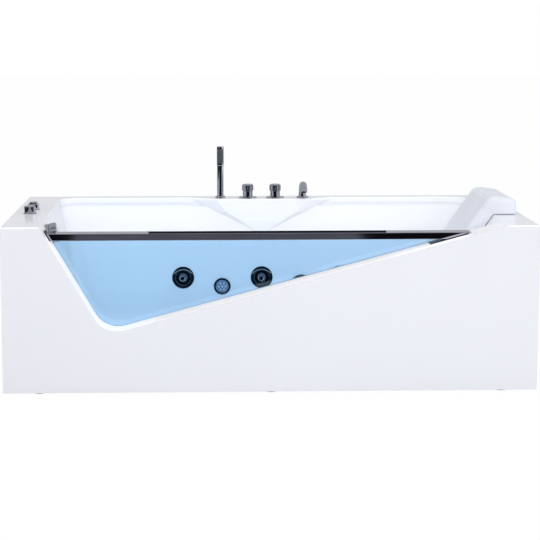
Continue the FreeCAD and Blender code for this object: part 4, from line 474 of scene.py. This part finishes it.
def clear_seal(look):
    """Cured silicone bead."""
    material = new_finish("clear_seal", (0.80, 0.84, 0.88), 0.35)
    shader_of(material).inputs["Transmission Weight"].default_value = 0.35
    shade_between(material, noise(material, 40.0), (0.74, 0.79, 0.84), (0.84, 0.87, 0.90))
    relief(material, noise(material, 260.0), 0.0002, 0.5)
    return material


def polished_chrome(look):
    """Bright chrome plate with hairline wiping marks."""
    material = new_finish("polished_chrome", look.chrome, 0.05, 1.0)
    shade_between(material, noise(material, 14.0), tinted(look.chrome, 0.94), look.chrome)
    rough_between(material, noise(material, 90.0, 6.0), 0.03, 0.09)
    relief(material, noise(material, 900.0, 2.0), 0.00002, 0.25)
    return material


def shaded_chrome(look):
    """Chrome of the rings on the wall fittings, darkened as a painted dark reflection."""
    return speckled(
        "shaded_chrome", (0.13, 0.16, 0.21), 0.08, 1.0,
        (80.0, (0.10, 0.13, 0.18), (0.16, 0.19, 0.24)), (400.0, 0.05, 0.14))


def rail_steel(look):
    """Polished metal with drawn lines along its length, its colour darkened and tinted blue as a painted
    reflection.
    """
    material = new_finish("rail_steel", look.rail, 0.06, 1.0)
    shade_between(material, noise(material, 6.0), tinted(look.rail, 0.92), look.rail)
    rough_between(material, noise(material, 300.0, 2.0, (0.02, 1.0, 1.0)), 0.04, 0.09)
    relief(material, noise(material, 500.0, 1.0, (0.01, 1.0, 1.0)), 0.00003, 0.2)
    return material


def shaded_plate_steel(look):
    """Metal of the plates at the rail's two ends, darkened as a painted dark reflection."""
    return speckled(
        "shaded_plate_steel", (0.055, 0.057, 0.065), 0.12, 1.0,
        (30.0, (0.045, 0.047, 0.055), (0.065, 0.067, 0.075)), (300.0, 0.08, 0.2), (500.0, 0.00003, 0.2))


def galvanised_steel(look):
    """Zinc spangle on the support frame."""
    material = new_finish("galvanised_steel", (0.55, 0.57, 0.60), 0.42, 0.9)
    shade_between(material, cells(material, 55.0), (0.46, 0.48, 0.51), (0.62, 0.64, 0.67), 0.1, 0.8)
    rough_between(material, cells(material, 55.0), 0.32, 0.55)
    relief(material, noise(material, 180.0), 0.0002, 0.3)
    return material


def base_plywood(look):
    """Birch plywood: long grain on its faces and thin plies along its edges."""
    material = new_finish("base_plywood", (0.62, 0.45, 0.28), 0.6)
    grain = pattern(material, "ShaderNodeTexWave", 6.0, (0.5, 9.0, 140.0), Distortion=5.0, Detail=3.0)
    shade_between(material, grain.outputs["Fac"], (0.52, 0.36, 0.21), (0.70, 0.53, 0.35), 0.2, 0.8)
    rough_between(material, noise(material, 60.0), 0.5, 0.75)
    relief(material, noise(material, 300.0, 4.0, (0.1, 1.0, 1.0)), 0.0004, 0.5)
    return material


def foot_rubber(look):
    """Moulded black rubber."""
    return speckled(
        "foot_rubber", (0.03, 0.03, 0.033), 0.7, 0.0,
        (50.0, (0.022, 0.022, 0.024), (0.045, 0.045, 0.048)), None, (800.0, 0.0002, 0.6))


def zinc_fastener(look):
    """Zinc-plated nuts and bolts with a faint passivated tint."""
    return speckled(
        "zinc_fastener", (0.62, 0.64, 0.66), 0.3, 1.0,
        (120.0, (0.56, 0.60, 0.66), (0.70, 0.69, 0.64)), (400.0, 0.22, 0.42), (900.0, 0.00005, 0.4))


def brass_body(look):
    """Machined brass below the deck, with fine tool rings."""
    material = new_finish("brass_body", (0.74, 0.55, 0.26), 0.28, 1.0)
    shade_between(material, noise(material, 60.0), (0.62, 0.44, 0.19), (0.78, 0.60, 0.31))
    rough_between(material, noise(material, 500.0, 2.0, (0.05, 0.05, 1.0)), 0.2, 0.4)
    relief(material, noise(material, 900.0, 1.0, (0.02, 0.02, 1.0)), 0.00006, 0.5)
    return material


def plain_pipe(name, dark, pale):
    """Extruded plastic pipe: soft sheen with streaks and scuffs."""
    material = new_finish(name, pale, 0.35)
    shade_between(material, noise(material, 22.0, 5.0), dark, pale)
    rough_between(material, noise(material, 150.0), 0.28, 0.5)
    relief(material, noise(material, 420.0), 0.0001, 0.3)
    return material


def grey_pvc(look):
    return plain_pipe("grey_pvc", (0.20, 0.21, 0.225), (0.27, 0.28, 0.30))


def white_pvc(look):
    return plain_pipe("white_pvc", (0.70, 0.71, 0.71), (0.80, 0.81, 0.82))


def jet_plastic(look):
    """Dark glossy jet flange."""
    material = speckled(
        "jet_plastic", (0.008, 0.013, 0.022), 0.16, 0.0,
        (70.0, (0.006, 0.010, 0.018), (0.012, 0.018, 0.028)), (260.0, 0.12, 0.24), (700.0, 0.00005, 0.3))
    shader_of(material).inputs["Specular IOR Level"].default_value = 0.22
    return material


def nozzle_plastic(look):
    """Plated eyeball, a little darker than the chrome."""
    return speckled(
        "nozzle_plastic", (0.17, 0.20, 0.26), 0.12, 0.75,
        (90.0, (0.14, 0.17, 0.23), (0.20, 0.23, 0.29)), (300.0, 0.08, 0.2), (800.0, 0.00004, 0.3))


def motor_paint(look):
    """Cast motor shell under thick grey paint."""
    return speckled(
        "motor_paint", (0.10, 0.115, 0.135), 0.4, 0.0,
        (30.0, (0.085, 0.10, 0.118), (0.125, 0.14, 0.16)), (120.0, 0.32, 0.52), (260.0, 0.0003, 0.5))


def pump_plastic(look):
    """Glass-filled black plastic of the pump housing."""
    material = new_finish("pump_plastic", (0.025, 0.026, 0.028), 0.45)
    shade_between(material, noise(material, 90.0, 5.0), (0.018, 0.019, 0.02), (0.045, 0.046, 0.05))
    relief(material, noise(material, 900.0, 4.0), 0.0002, 0.5)
    return material


def rotor_steel(look):
    """Turned steel shaft and impeller."""
    material = new_finish("rotor_steel", (0.50, 0.51, 0.53), 0.3, 1.0)
    shade_between(material, noise(material, 60.0), (0.44, 0.45, 0.47), (0.56, 0.57, 0.59))
    rough_between(material, noise(material, 500.0, 1.0, (1.0, 0.05, 1.0)), 0.2, 0.42)
    return material


def light_lens(look):
    """Frosted lens with moulded cells that scatter the light."""
    material = new_finish("light_lens", (0.34, 0.41, 0.53), 0.2)
    dots = cells(material, 260.0)
    shade_between(material, dots, (0.42, 0.50, 0.64), (0.20, 0.26, 0.38), 0.15, 0.6)
    shader_of(material).inputs["Specular IOR Level"].default_value = 0.3
    relief(material, dots, 0.0012, 0.8)
    return material


def housing_plastic(look):
    """Light grey textured housing."""
    material = new_finish("housing_plastic", (0.58, 0.60, 0.62), 0.5)
    shade_between(material, noise(material, 40.0), (0.54, 0.56, 0.58), (0.62, 0.64, 0.66))
    rough_between(material, noise(material, 200.0), 0.42, 0.6)
    relief(material, cells(material, 1400.0), 0.00012, 0.5)
    return material


def spray_rubber(look):
    """Soft dark grey rubber of the shower face."""
    return speckled(
        "spray_rubber", (0.07, 0.075, 0.085), 0.5, 0.0,
        (160.0, (0.055, 0.06, 0.07), (0.09, 0.095, 0.105)), None, (1200.0, 0.00005, 0.5))


def headrest_skin(look):
    """Self-skinned foam with a fine pebble grain."""
    material = new_finish("headrest_skin", look.pad, 0.42)
    shade_between(material, noise(material, 9.0), tinted(look.pad, 0.955), look.pad)
    rough_between(material, noise(material, 60.0, 4.0), 0.36, 0.5)
    relief(material, cells(material, 620.0), 0.00025, 0.35)
    relief(material, noise(material, 22.0, 2.0), 0.0008, 0.25)
    shader_of(material).inputs["Sheen Weight"].default_value = 0.08
    return material


FINISHES = (
    acrylic_white, shell_white, panel_white, apron_white, glass_clear, clear_seal, polished_chrome,
    shaded_chrome, rail_steel, shaded_plate_steel, galvanised_steel, base_plywood, foot_rubber, zinc_fastener,
    brass_body, grey_pvc, white_pvc, jet_plastic, nozzle_plastic, motor_paint, pump_plastic, rotor_steel,
    light_lens, housing_plastic, spray_rubber, headrest_skin,
)


def finish_named(name):
    """The material of that name, made on its first use."""
    found = bpy.data.materials.get("bath_" + name)
    if found is None:
        maker = {made.__name__: made for made in FINISHES}[name]
        found = maker(bpy.context.scene.bath_finishes)
        found.name = "bath_" + name
    return found


# ---------------------------------------------------------------- modelling tools


def deselect_all():
    if bpy.context.object and bpy.context.object.mode != "OBJECT":
        bpy.ops.object.mode_set(mode="OBJECT")
    bpy.ops.object.select_all(action="DESELECT")


def make_active(piece):
    deselect_all()
    piece.select_set(True)
    bpy.context.view_layer.objects.active = piece


def pick(piece, kind, wanted):
    """Selects the faces or edges of the active piece whose middle and normal answer the test."""
    bpy.ops.object.mode_set(mode="EDIT")
    bpy.ops.mesh.select_mode(type=kind)
    bpy.ops.mesh.select_all(action="DESELECT")
    mesh = bmesh.from_edit_mesh(piece.data)
    parts = mesh.faces if kind == "FACE" else mesh.edges
    for part in parts:
        middle = sum((corner.co for corner in part.verts), Vector()) / len(part.verts)
        normal = part.normal if kind == "FACE" else (part.verts[1].co - part.verts[0].co).normalized()
        if wanted(middle, normal):
            part.select_set(True)
    mesh.select_flush_mode()
    bmesh.update_edit_mesh(piece.data)


def settle(piece, finish, body, smooth_angle=35.0):
    """Puts the finished mesh in the shared frame and gives it its finish, shading and body."""
    make_active(piece)
    bpy.ops.object.transform_apply(location=True, rotation=True, scale=True)
    bpy.ops.object.shade_smooth_by_angle(angle=math.radians(smooth_angle))
    piece.data.materials.clear()
    piece.data.materials.append(finish_named(finish))
    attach(piece, body)


def joined(name, pieces):
    """Joins the pieces into the first of them, under a new name."""
    deselect_all()
    for piece in pieces:
        piece.select_set(True)
    bpy.context.view_layer.objects.active = pieces[0]
    bpy.ops.object.join()
    pieces[0].name = name
    return pieces[0]


def apply_all(piece):
    """Applies every modifier of a piece, in order."""
    make_active(piece)
    for modifier in list(piece.modifiers):
        bpy.ops.object.modifier_apply(modifier=modifier.name)


# ---------------------------------------------------------------- headrest


def pad_corners(sizes):
    """Side outline of the headrest, as corner points in the XZ plane from the heel round."""
    heel_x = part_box("headrest")[1].x
    base_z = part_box("basin_shell")[1].z + PAD_GAP
    rim = Vector((heel_x - sizes.pad_deck_length, 0.0, base_z))
    down = Vector((-math.cos(sizes.backrest_angle), 0.0, -math.sin(sizes.backrest_angle)))
    out = Vector((down.z, 0.0, -down.x))
    toe = rim + out * PAD_GAP + down * sizes.pad_slope_length
    crest_run = rim + out * sizes.pad_thickness
    crest = crest_run + down * ((base_z + sizes.pad_crest_height - crest_run.z) / down.z)
    return [
        Vector((heel_x, 0.0, base_z)),
        Vector((heel_x, 0.0, base_z + sizes.pad_heel_height)),
        crest,
        toe + out * (sizes.pad_thickness - PAD_GAP),
        toe,
        rim + out * PAD_GAP,
    ]


def pad_blank(sizes, corners):
    """The headrest as a plain solid: its side outline in rings across, drawn in a little at both ends."""
    low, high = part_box("headrest")
    half = (high.y - low.y) / 2 - sizes.pad_crown * 0.5
    middle = sum(corners, Vector()) / len(corners)
    shape = bmesh.new()
    rings = []
    for share, drawn in PAD_RINGS:
        ring = []
        for index, corner in enumerate(corners):
            place = corner if index in (HEEL, TOE, RIM) else corner.lerp(middle, drawn)
            ring.append(shape.verts.new((place.x, share * half, place.z)))
        rings.append(ring)
    for first, second in zip(rings, rings[1:]):
        for index in range(len(corners)):
            after = (index + 1) % len(corners)
            shape.faces.new((first[index], first[after], second[after], second[index]))
    shape.faces.new(rings[0][::-1])
    shape.faces.new(rings[-1])
    bmesh.ops.recalc_face_normals(shape, faces=shape.faces)
    mesh = bpy.data.meshes.new("headrest_pad")
    shape.to_mesh(mesh)
    shape.free()
    pad = bpy.data.objects.new("headrest_pad", mesh)
    bpy.context.scene.collection.objects.link(pad)
    return pad


def inflate(piece, crown, pinned):
    """Blows the pad up with a short cloth simulation and keeps each point within the crown of its start."""
    group = piece.vertex_groups.new(name="resting")
    resting = [point.index for point in piece.data.vertices if pinned(point.co)]
    group.add(resting, 1.0, "REPLACE")
    starts = [point.co.copy() for point in piece.data.vertices]
    cloth = piece.modifiers.new("inflate", "CLOTH")
    cloth.settings.use_pressure = True
    cloth.settings.uniform_pressure_force = 4.0
    cloth.settings.tension_stiffness = 12.0
    cloth.settings.compression_stiffness = 12.0
    cloth.settings.vertex_group_mass = "resting"
    cloth.settings.effector_weights.gravity = 0.0
    cloth.point_cache.frame_start = 1
    cloth.point_cache.frame_end = CLOTH_STEPS
    for step in range(1, CLOTH_STEPS + 1):
        bpy.context.scene.frame_set(step)
    make_active(piece)
    bpy.ops.object.modifier_apply(modifier=cloth.name)
    bpy.context.scene.frame_set(1)
    for point, start in zip(piece.data.vertices, starts):
        moved = point.co - start
        if moved.length > crown:
            point.co = start + moved.normalized() * crown


class BATH_OT_headrest_pad(bpy.types.Operator):
    """Model the moulded foam headrest that hooks over the deck"""

    bl_idname = "bath.headrest_pad"
    bl_label = "Headrest pad"

    def execute(self, context):
        sizes = context.scene.bath_pieces
        corners = pad_corners(sizes)
        crest, rim, base_z = corners[CREST], corners[RIM], corners[HEEL].z
        out = (corners[TOE_TOP] - corners[TOE]).normalized()
        pad = pad_blank(sizes, corners)
        make_active(pad)
        pick(pad, "EDGE", lambda at, way: (
            abs(way.y) > 0.9 and (Vector((at.x, 0, at.z)) - crest).length < PAD_REACH))
        bpy.ops.mesh.bevel(offset=CREST_ROUNDING, segments=5, affect="EDGES")
        bpy.ops.object.mode_set(mode="OBJECT")
        soft = pad.modifiers.new("soft_edges", "BEVEL")
        soft.width = EDGE_ROUNDING
        soft.segments = 4
        soft.limit_method = "ANGLE"
        soft.angle_limit = math.radians(35.0)
        skin = pad.modifiers.new("skin", "REMESH")
        skin.mode = "VOXEL"
        skin.voxel_size = sizes.pad_mesh
        apply_all(pad)
        inflate(pad, sizes.pad_crown, lambda at: (
            at.z < base_z + PAD_REACH and (at - rim).dot(out) < PAD_REACH))
        for point in pad.data.vertices:
            over = (point.co - rim).dot(out)
            if point.co.x > rim.x:
                point.co.z = max(point.co.z, base_z)
            elif over < 0:
                point.co -= out * over
        fair = pad.modifiers.new("fair", "SMOOTH")
        fair.factor = 0.5
        fair.iterations = 3
        fine = pad.modifiers.new("fine", "SUBSURF")
        fine.levels = 1
        fine.render_levels = 1
        apply_all(pad)
        settle(pad, "headrest_skin", "headrest", 180.0)
        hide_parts("headrest")
        return {"FINISHED"}


class BATH_OT_headrest_pins(bpy.types.Operator):
    """Model the two pins that hold the headrest in the deck"""

    bl_idname = "bath.headrest_pins"
    bl_label = "Headrest pins"

    def execute(self, context):
        sizes = context.scene.bath_pieces
        deck_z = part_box("basin_shell")[1].z
        pin_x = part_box("headrest")[1].x - PIN_FROM_HEEL
        for index, side in enumerate((-1, 1), 1):
            deselect_all()
            bpy.ops.mesh.primitive_cylinder_add(
                vertices=28, radius=sizes.pin_radius, depth=PIN_LENGTH,
                location=(pin_x, side * PIN_FROM_MIDDLE, deck_z - PIN_SINK))
            pin = context.object
            pin.name = f"headrest_pin_{index}"
            pick(pin, "FACE", lambda at, way: way.z < -0.9)
            bpy.ops.mesh.bevel(offset=0.0016, segments=3, affect="EDGES")
            pick(pin, "FACE", lambda at, way: way.z > 0.9)
            bpy.ops.mesh.inset(thickness=0.0012)
            bpy.ops.object.mode_set(mode="OBJECT")
            settle(pin, "housing_plastic", "headrest")
        return {"FINISHED"}


# ---------------------------------------------------------------- hand shower


class BATH_OT_spray_nozzles(bpy.types.Operator):
    """Model the rubber nozzles of the hand shower"""

    bl_idname = "bath.spray_nozzles"
    bl_label = "Spray nozzles"

    def execute(self, context):
        sizes = context.scene.bath_pieces
        low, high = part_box("spray_face")
        middle_x = (low.x + high.x) / 2
        step_x = (high.x - low.x) / 2 * NOZZLE_COLUMN
        first_z = low.z + NOZZLE_MARGIN
        deselect_all()
        bpy.ops.mesh.primitive_cone_add(
            vertices=12, radius1=NOZZLE_BASE, radius2=NOZZLE_TIP, depth=NOZZLE_LENGTH,
            rotation=(math.pi / 2, 0, 0), location=(middle_x - step_x, low.y + 0.0005, first_z))
        nozzle = context.object
        pick(nozzle, "FACE", lambda at, way: way.z > 0.9)
        bpy.ops.mesh.inset(thickness=0.0002)
        bpy.ops.transform.translate(value=(0, 0.0004, 0))
        bpy.ops.object.mode_set(mode="OBJECT")
        nozzles = [nozzle]
        for row in range(sizes.nozzle_rows):
            for column in (-1, 0, 1):
                if row == 0 and column == -1:
                    continue
                twin = nozzle.copy()
                twin.data = nozzle.data.copy()
                twin.location = (middle_x + column * step_x, nozzle.location.y, first_z + row * NOZZLE_PITCH)
                context.scene.collection.objects.link(twin)
                nozzles.append(twin)
        settle(joined("spray_nozzles", nozzles), "spray_rubber", "hand_shower")
        return {"FINISHED"}


# ---------------------------------------------------------------- wall fittings


def wall_frame(sizes, x, y, z):
    """Places a thing that was made at the origin, facing +Z, on the wall of the jets, with +Y up the wall."""
    return Matrix.Translation((x, y, z)) @ Matrix.Rotation(math.pi / 2 - sizes.wall_lean, 4, "X")


def ball_frame(sizes, jet):
    """The frame of a jet's eyeball, with its origin at the ball's middle, and the ball's radius."""
    low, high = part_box(f"jet_nozzle_{jet}")
    radius = (high.x - low.x) / 2
    return wall_frame(sizes, (low.x + high.x) / 2, high.y - radius, (low.z + high.z) / 2), radius


class BATH_OT_jet_visors(bpy.types.Operator):
    """Model the edge that arches over each jet, in pale plastic as a painted highlight"""

    bl_idname = "bath.jet_visors"
    bl_label = "Jet visors"

    def execute(self, context):
        sizes = context.scene.bath_pieces
        arches = []
        for jet in (1, 2, 3):
            deselect_all()
            bpy.ops.mesh.primitive_torus_add(
                major_radius=VISOR_RADIUS, minor_radius=VISOR_TUBE, major_segments=96, minor_segments=10)
            arch = context.object
            pick(arch, "FACE", lambda at, way: at.y < VISOR_RADIUS * VISOR_CUT)
            bpy.ops.mesh.delete(type="FACE")
            bpy.ops.mesh.select_all(action="SELECT")
            bpy.ops.mesh.normals_make_consistent(inside=False)
            bpy.ops.object.mode_set(mode="OBJECT")
            arch.matrix_world = ball_frame(sizes, jet)[0] @ Matrix.Translation(VISOR_PLACE)
            bpy.ops.object.transform_apply(location=True, rotation=True, scale=True)
            arches.append(arch)
        # Painted highlight: the arch takes pale plastic so that it reads as a bright edge.
        settle(joined("jet_visors", arches), "housing_plastic", "tub")
        return {"FINISHED"}


class BATH_OT_jet_eyelets(bpy.types.Operator):
    """Model the bright eyelet round the outlet of each jet"""

    bl_idname = "bath.jet_eyelets"
    bl_label = "Jet eyelets"

    def execute(self, context):
        sizes = context.scene.bath_pieces
        aim = Matrix.Rotation(OUTLET_TURN, 4, "Z") @ Matrix.Rotation(OUTLET_TILT, 4, "Y")
        for jet in (1, 2, 3):
            place, radius = ball_frame(sizes, jet)
            deselect_all()
            bpy.ops.mesh.primitive_torus_add(
                major_radius=EYELET_RADIUS, minor_radius=EYELET_TUBE, major_segments=56, minor_segments=12)
            eyelet = context.object
            eyelet.name = f"jet_eyelet_{jet}"
            pick(eyelet, "FACE", lambda at, way: way.z > 0.85)
            bpy.ops.mesh.inset(thickness=0.0002)
            bpy.ops.object.mode_set(mode="OBJECT")
            eyelet.matrix_world = place @ aim @ Matrix.Translation((0.0, 0.0, radius * EYELET_RISE))
            settle(eyelet, "polished_chrome", f"jet_nozzle_{jet}")
        return {"FINISHED"}


class BATH_OT_light_cells(bpy.types.Operator):
    """Model the raised round cells in the lens of the light"""

    bl_idname = "bath.light_cells"
    bl_label = "Light cells"

    def execute(self, context):
        sizes = context.scene.bath_pieces
        low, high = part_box("light_lens")
        middle = wall_frame(sizes, (low.x + high.x) / 2, low.y, (low.z + high.z) / 2)
        spots = [(0.0, 0.0, CELL_DEPTH_MIDDLE)]
        for step in range(6):
            turn = math.radians(60 * step)
            spots.append(
                (sizes.light_cell_ring * math.cos(turn), sizes.light_cell_ring * math.sin(turn), CELL_DEPTH_RING))
        domes = []
        for spot in spots:
            deselect_all()
            bpy.ops.mesh.primitive_uv_sphere_add(segments=28, ring_count=14, radius=CELL_RADIUS)
            dome = context.object
            dome.scale = (1.0, 1.0, CELL_FLATNESS)
            bpy.ops.object.transform_apply(scale=True)
            dome.matrix_world = middle @ Matrix.Translation(spot)
            bpy.ops.object.transform_apply(location=True, rotation=True)
            domes.append(dome)
        settle(joined("light_cells", domes), "clear_seal", "tub", 180.0)
        return {"FINISHED"}


# ---------------------------------------------------------------- plumbing


class BATH_OT_hose_clamps(bpy.types.Operator):
    """Model the worm-drive clamps on the water pipes"""

    bl_idname = "bath.hose_clamps"
    bl_label = "Hose clamps"

    def execute(self, context):
        sizes = context.scene.bath_pieces
        screw_radius, screw_length, screw_reach = CLAMP_SCREW
        made = []
        for x, y, z, radius in CLAMP_PLACES:
            worm_z = z + radius + WORM_RISE
            deselect_all()
            bpy.ops.mesh.primitive_cylinder_add(
                vertices=56, radius=radius + BAND_GAP, depth=sizes.clamp_width, end_fill_type="NOTHING",
                location=(x, y, z), rotation=(0.0, math.pi / 2, 0.0))
            band = context.object
            bpy.ops.object.transform_apply(location=True, rotation=True, scale=True)
            wall = band.modifiers.new("wall", "SOLIDIFY")
            wall.thickness = BAND_THICKNESS
            wall.offset = 1.0
            apply_all(band)
            deselect_all()
            bpy.ops.mesh.primitive_cube_add(size=1.0, location=(x, y, worm_z))
            box = context.object
            box.scale = (sizes.clamp_width * 0.9, WORM_DEPTH, WORM_HEIGHT)
            bpy.ops.object.transform_apply(location=True, rotation=True, scale=True)
            pick(box, "EDGE", lambda at, way: abs(way.y) > 0.9 and at.z > z + radius + 0.004)
            bpy.ops.mesh.bevel(offset=0.0024, segments=4, affect="EDGES")
            bpy.ops.object.mode_set(mode="OBJECT")
            deselect_all()
            bpy.ops.mesh.primitive_cylinder_add(
                vertices=6, radius=screw_radius, depth=screw_length, location=(x, y - screw_reach, worm_z),
                rotation=(math.pi / 2, 0.0, 0.0))
            screw = context.object
            bpy.ops.object.transform_apply(location=True, rotation=True, scale=True)
            made += [band, box, screw]
        settle(joined("hose_clamps", made), "zinc_fastener", "tub", 30.0)
        return {"FINISHED"}


class BATH_OT_lid_screws(bpy.types.Operator):
    """Model the four screws in the lid of the control box"""

    bl_idname = "bath.lid_screws"
    bl_label = "Lid screws"

    def execute(self, context):
        low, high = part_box("control_box")
        inset_x, inset_y = LID_SCREW_INSET
        made = []
        for x in (low.x + inset_x, high.x - inset_x):
            for y in (low.y + inset_y, high.y - inset_y):
                deselect_all()
                bpy.ops.mesh.primitive_cylinder_add(
                    vertices=28, radius=LID_SCREW[0], depth=LID_SCREW[1], location=(x, y, high.z - 0.0002))
                screw = context.object
                pick(screw, "FACE", lambda at, way: way.z > 0.9)
                bpy.ops.mesh.inset(thickness=0.0010)
                bpy.ops.mesh.inset(thickness=0.0009)
                bpy.ops.transform.translate(value=(0.0, 0.0, -0.0012))
                bpy.ops.object.mode_set(mode="OBJECT")
                bpy.ops.object.transform_apply(location=True, rotation=True, scale=True)
                made.append(screw)
        settle(joined("lid_screws", made), "zinc_fastener", "tub", 30.0)
        return {"FINISHED"}


# ---------------------------------------------------------------- finishes of the CAD parts


class BATH_OT_carry_finishes(bpy.types.Operator):
    """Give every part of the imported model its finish"""

    bl_idname = "bath.carry_finishes"
    bl_label = "Finishes"

    def execute(self, context):
        for row in frame["record"]["subparts"]:
            node = frame["nodes"][row["node"]]
            node.data.materials.clear()
            node.data.materials.append(finish_named(NODE_FINISHES.get(row["node"], row["material_slot"])))
        return {"FINISHED"}


# ---------------------------------------------------------------- studio


def seen_rays(tree):
    """Factors for rays that come from the camera, also through glass, and for rays that a surface mirrored."""
    path = tree.nodes.new("ShaderNodeLightPath")
    mirrored = number(tree, "GREATER_THAN", path.outputs["Glossy Depth"], 0.5)
    either = number(tree, "MAXIMUM", path.outputs["Is Camera Ray"], path.outputs["Is Transmission Ray"])
    return number(tree, "MULTIPLY", either, number(tree, "SUBTRACT", 1.0, mirrored)), mirrored


def make_world(stage):
    """Even soft light, a greyer room for polished surfaces, and plain white where the camera looks past."""
    world = bpy.data.worlds.new("studio")
    world.use_nodes = True
    tree = world.node_tree
    soft = tree.nodes["Background"]
    seen, mirrored = seen_rays(tree)
    tint = tree.nodes.new("ShaderNodeMixRGB")
    tint.inputs[1].default_value = (*COOL_WHITE, 1.0)
    tint.inputs[2].default_value = (1.0, 1.0, 1.0, 1.0)
    tree.links.new(seen, tint.inputs[0])
    tree.links.new(tint.outputs[0], soft.inputs["Color"])
    room = number(tree, "MULTIPLY_ADD", mirrored, stage.mirrored - stage.sky, stage.sky)
    tree.links.new(number(tree, "MAXIMUM", seen, room), soft.inputs["Strength"])
    bpy.context.scene.world = world


def glow_where(material, factor, plain, colour):
    """Shows an even glow where the factor is one, and the plain shader where it is nought."""
    tree = material.node_tree
    glow = tree.nodes.new("ShaderNodeEmission")
    glow.inputs["Color"].default_value = (*colour, 1.0)
    mix = tree.nodes.new("ShaderNodeMixShader")
    tree.links.new(factor, mix.inputs["Fac"])
    tree.links.new(plain, mix.inputs[1])
    tree.links.new(glow.outputs[0], mix.inputs[2])
    tree.links.new(mix.outputs[0], tree.nodes["Material Output"].inputs["Surface"])


def make_floor():
    """Pale floor that stays white and still takes the tub's shadow."""
    deselect_all()
    bpy.ops.mesh.primitive_plane_add(size=60.0, location=(0.0, 0.0, -0.0005))
    floor = bpy.context.object
    floor.name = "studio_floor"
    material = new_finish("studio_floor", (0.76, 0.765, 0.775), 0.85)
    shade_between(material, noise(material, 0.8), (0.75, 0.755, 0.765), (0.77, 0.775, 0.785))
    tree = material.node_tree
    share = number(tree, "MULTIPLY", seen_rays(tree)[0], 0.95)
    glow_where(material, share, shader_of(material).outputs[0], (1.01, 1.01, 1.01))
    floor.data.materials.append(material)
    return floor


def make_card(name, place, size, colour, turn):
    """A card that only polished surfaces see, also through the window."""
    deselect_all()
    bpy.ops.mesh.primitive_plane_add(size=1.0, location=place, rotation=turn)
    card = bpy.context.object
    card.name = name
    card.scale = (size[0], size[1], 1.0)
    material = new_finish(name, (0.0, 0.0, 0.0), 1.0)
    tree = material.node_tree
    clear = tree.nodes.new("ShaderNodeBsdfTransparent")
    glow_where(material, seen_rays(tree)[1], clear.outputs[0], colour)
    card.data.materials.append(material)
    card.visible_camera = False
    card.visible_diffuse = False
    card.visible_shadow = False
    return card


def make_lamp(name, place, aim, size, power):
    """A large soft lamp that lights the tub and shows in nothing."""
    lamp = bpy.data.lights.new(name, "AREA")
    lamp.shape = "RECTANGLE"
    lamp.size, lamp.size_y = size
    lamp.energy = power
    lamp.color = COOL_WHITE
    holder = bpy.data.objects.new(name, lamp)
    holder.location = place
    holder.rotation_euler = (Vector(aim) - Vector(place)).to_track_quat("-Z", "Y").to_euler()
    holder.visible_camera = False
    holder.visible_glossy = False
    bpy.context.scene.collection.objects.link(holder)


def make_camera(stage):
    """Camera at the photograph's place and angle."""
    lens = bpy.data.cameras.new("camera")
    lens.sensor_width = 36.0
    lens.lens = stage.lens
    lens.shift_x, lens.shift_y = stage.shift
    camera = bpy.data.objects.new("camera", lens)
    camera.location = stage.camera_place
    camera.rotation_euler = (math.pi / 2 - stage.camera_dip, 0.0, -stage.camera_turn)
    bpy.context.scene.collection.objects.link(camera)
    bpy.context.scene.camera = camera


class BATH_OT_studio(bpy.types.Operator):
    """Set up the floor, the lamps and the camera"""

    bl_idname = "bath.studio"
    bl_label = "Studio"

    def execute(self, context):
        stage = context.scene.bath_stage
        context.scene.view_settings.view_transform = "Standard"
        make_world(stage)
        make_floor()
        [make_card(*card) for card in CARDS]
        make_lamp("front_lamp", (0.5, -5.2, 1.9), (0.0, 0.0, 0.35), (5.0, 2.2), stage.front_power)
        make_lamp("top_lamp", (0.2, 0.4, 4.0), (0.0, 0.0, 0.3), (3.5, 2.5), stage.top_power)
        make_camera(stage)
        return {"FINISHED"}


# ---------------------------------------------------------------- panel and registration


OPERATORS = (
    BATH_OT_studio,
    BATH_OT_carry_finishes,
    BATH_OT_headrest_pad,
    BATH_OT_headrest_pins,
    BATH_OT_spray_nozzles,
    BATH_OT_jet_visors,
    BATH_OT_jet_eyelets,
    BATH_OT_light_cells,
    BATH_OT_hose_clamps,
    BATH_OT_lid_screws,
)


class BATH_PT_dresser(bpy.types.Panel):
    """Lists the pieces of the bathtub in the order in which they are made"""

    bl_idname = "BATH_PT_dresser"
    bl_label = "Jetted bathtub"
    bl_space_type = "VIEW_3D"
    bl_region_type = "UI"
    bl_category = "Bathtub"

    def draw(self, context):
        for operator in OPERATORS:
            self.layout.operator(operator.bl_idname)
        for group in (context.scene.bath_finishes, context.scene.bath_pieces, context.scene.bath_stage):
            for name in group.__annotations__:
                self.layout.prop(group, name)


CLASSES = (BathFinishSettings, BathPieceSettings, BathStageSettings, *OPERATORS, BATH_PT_dresser)


def register():
    for item in CLASSES:
        bpy.utils.register_class(item)
    bpy.types.Scene.bath_finishes = PointerProperty(type=BathFinishSettings)
    bpy.types.Scene.bath_pieces = PointerProperty(type=BathPieceSettings)
    bpy.types.Scene.bath_stage = PointerProperty(type=BathStageSettings)


def unregister():
    del bpy.types.Scene.bath_stage
    del bpy.types.Scene.bath_pieces
    del bpy.types.Scene.bath_finishes
    for item in reversed(CLASSES):
        bpy.utils.unregister_class(item)


def main():
    """Makes every piece in order."""
    register()
    for operator in OPERATORS:
        group, name = operator.bl_idname.split(".")
        getattr(getattr(bpy.ops, group), name)()


if __name__ == "__main__":
    main()
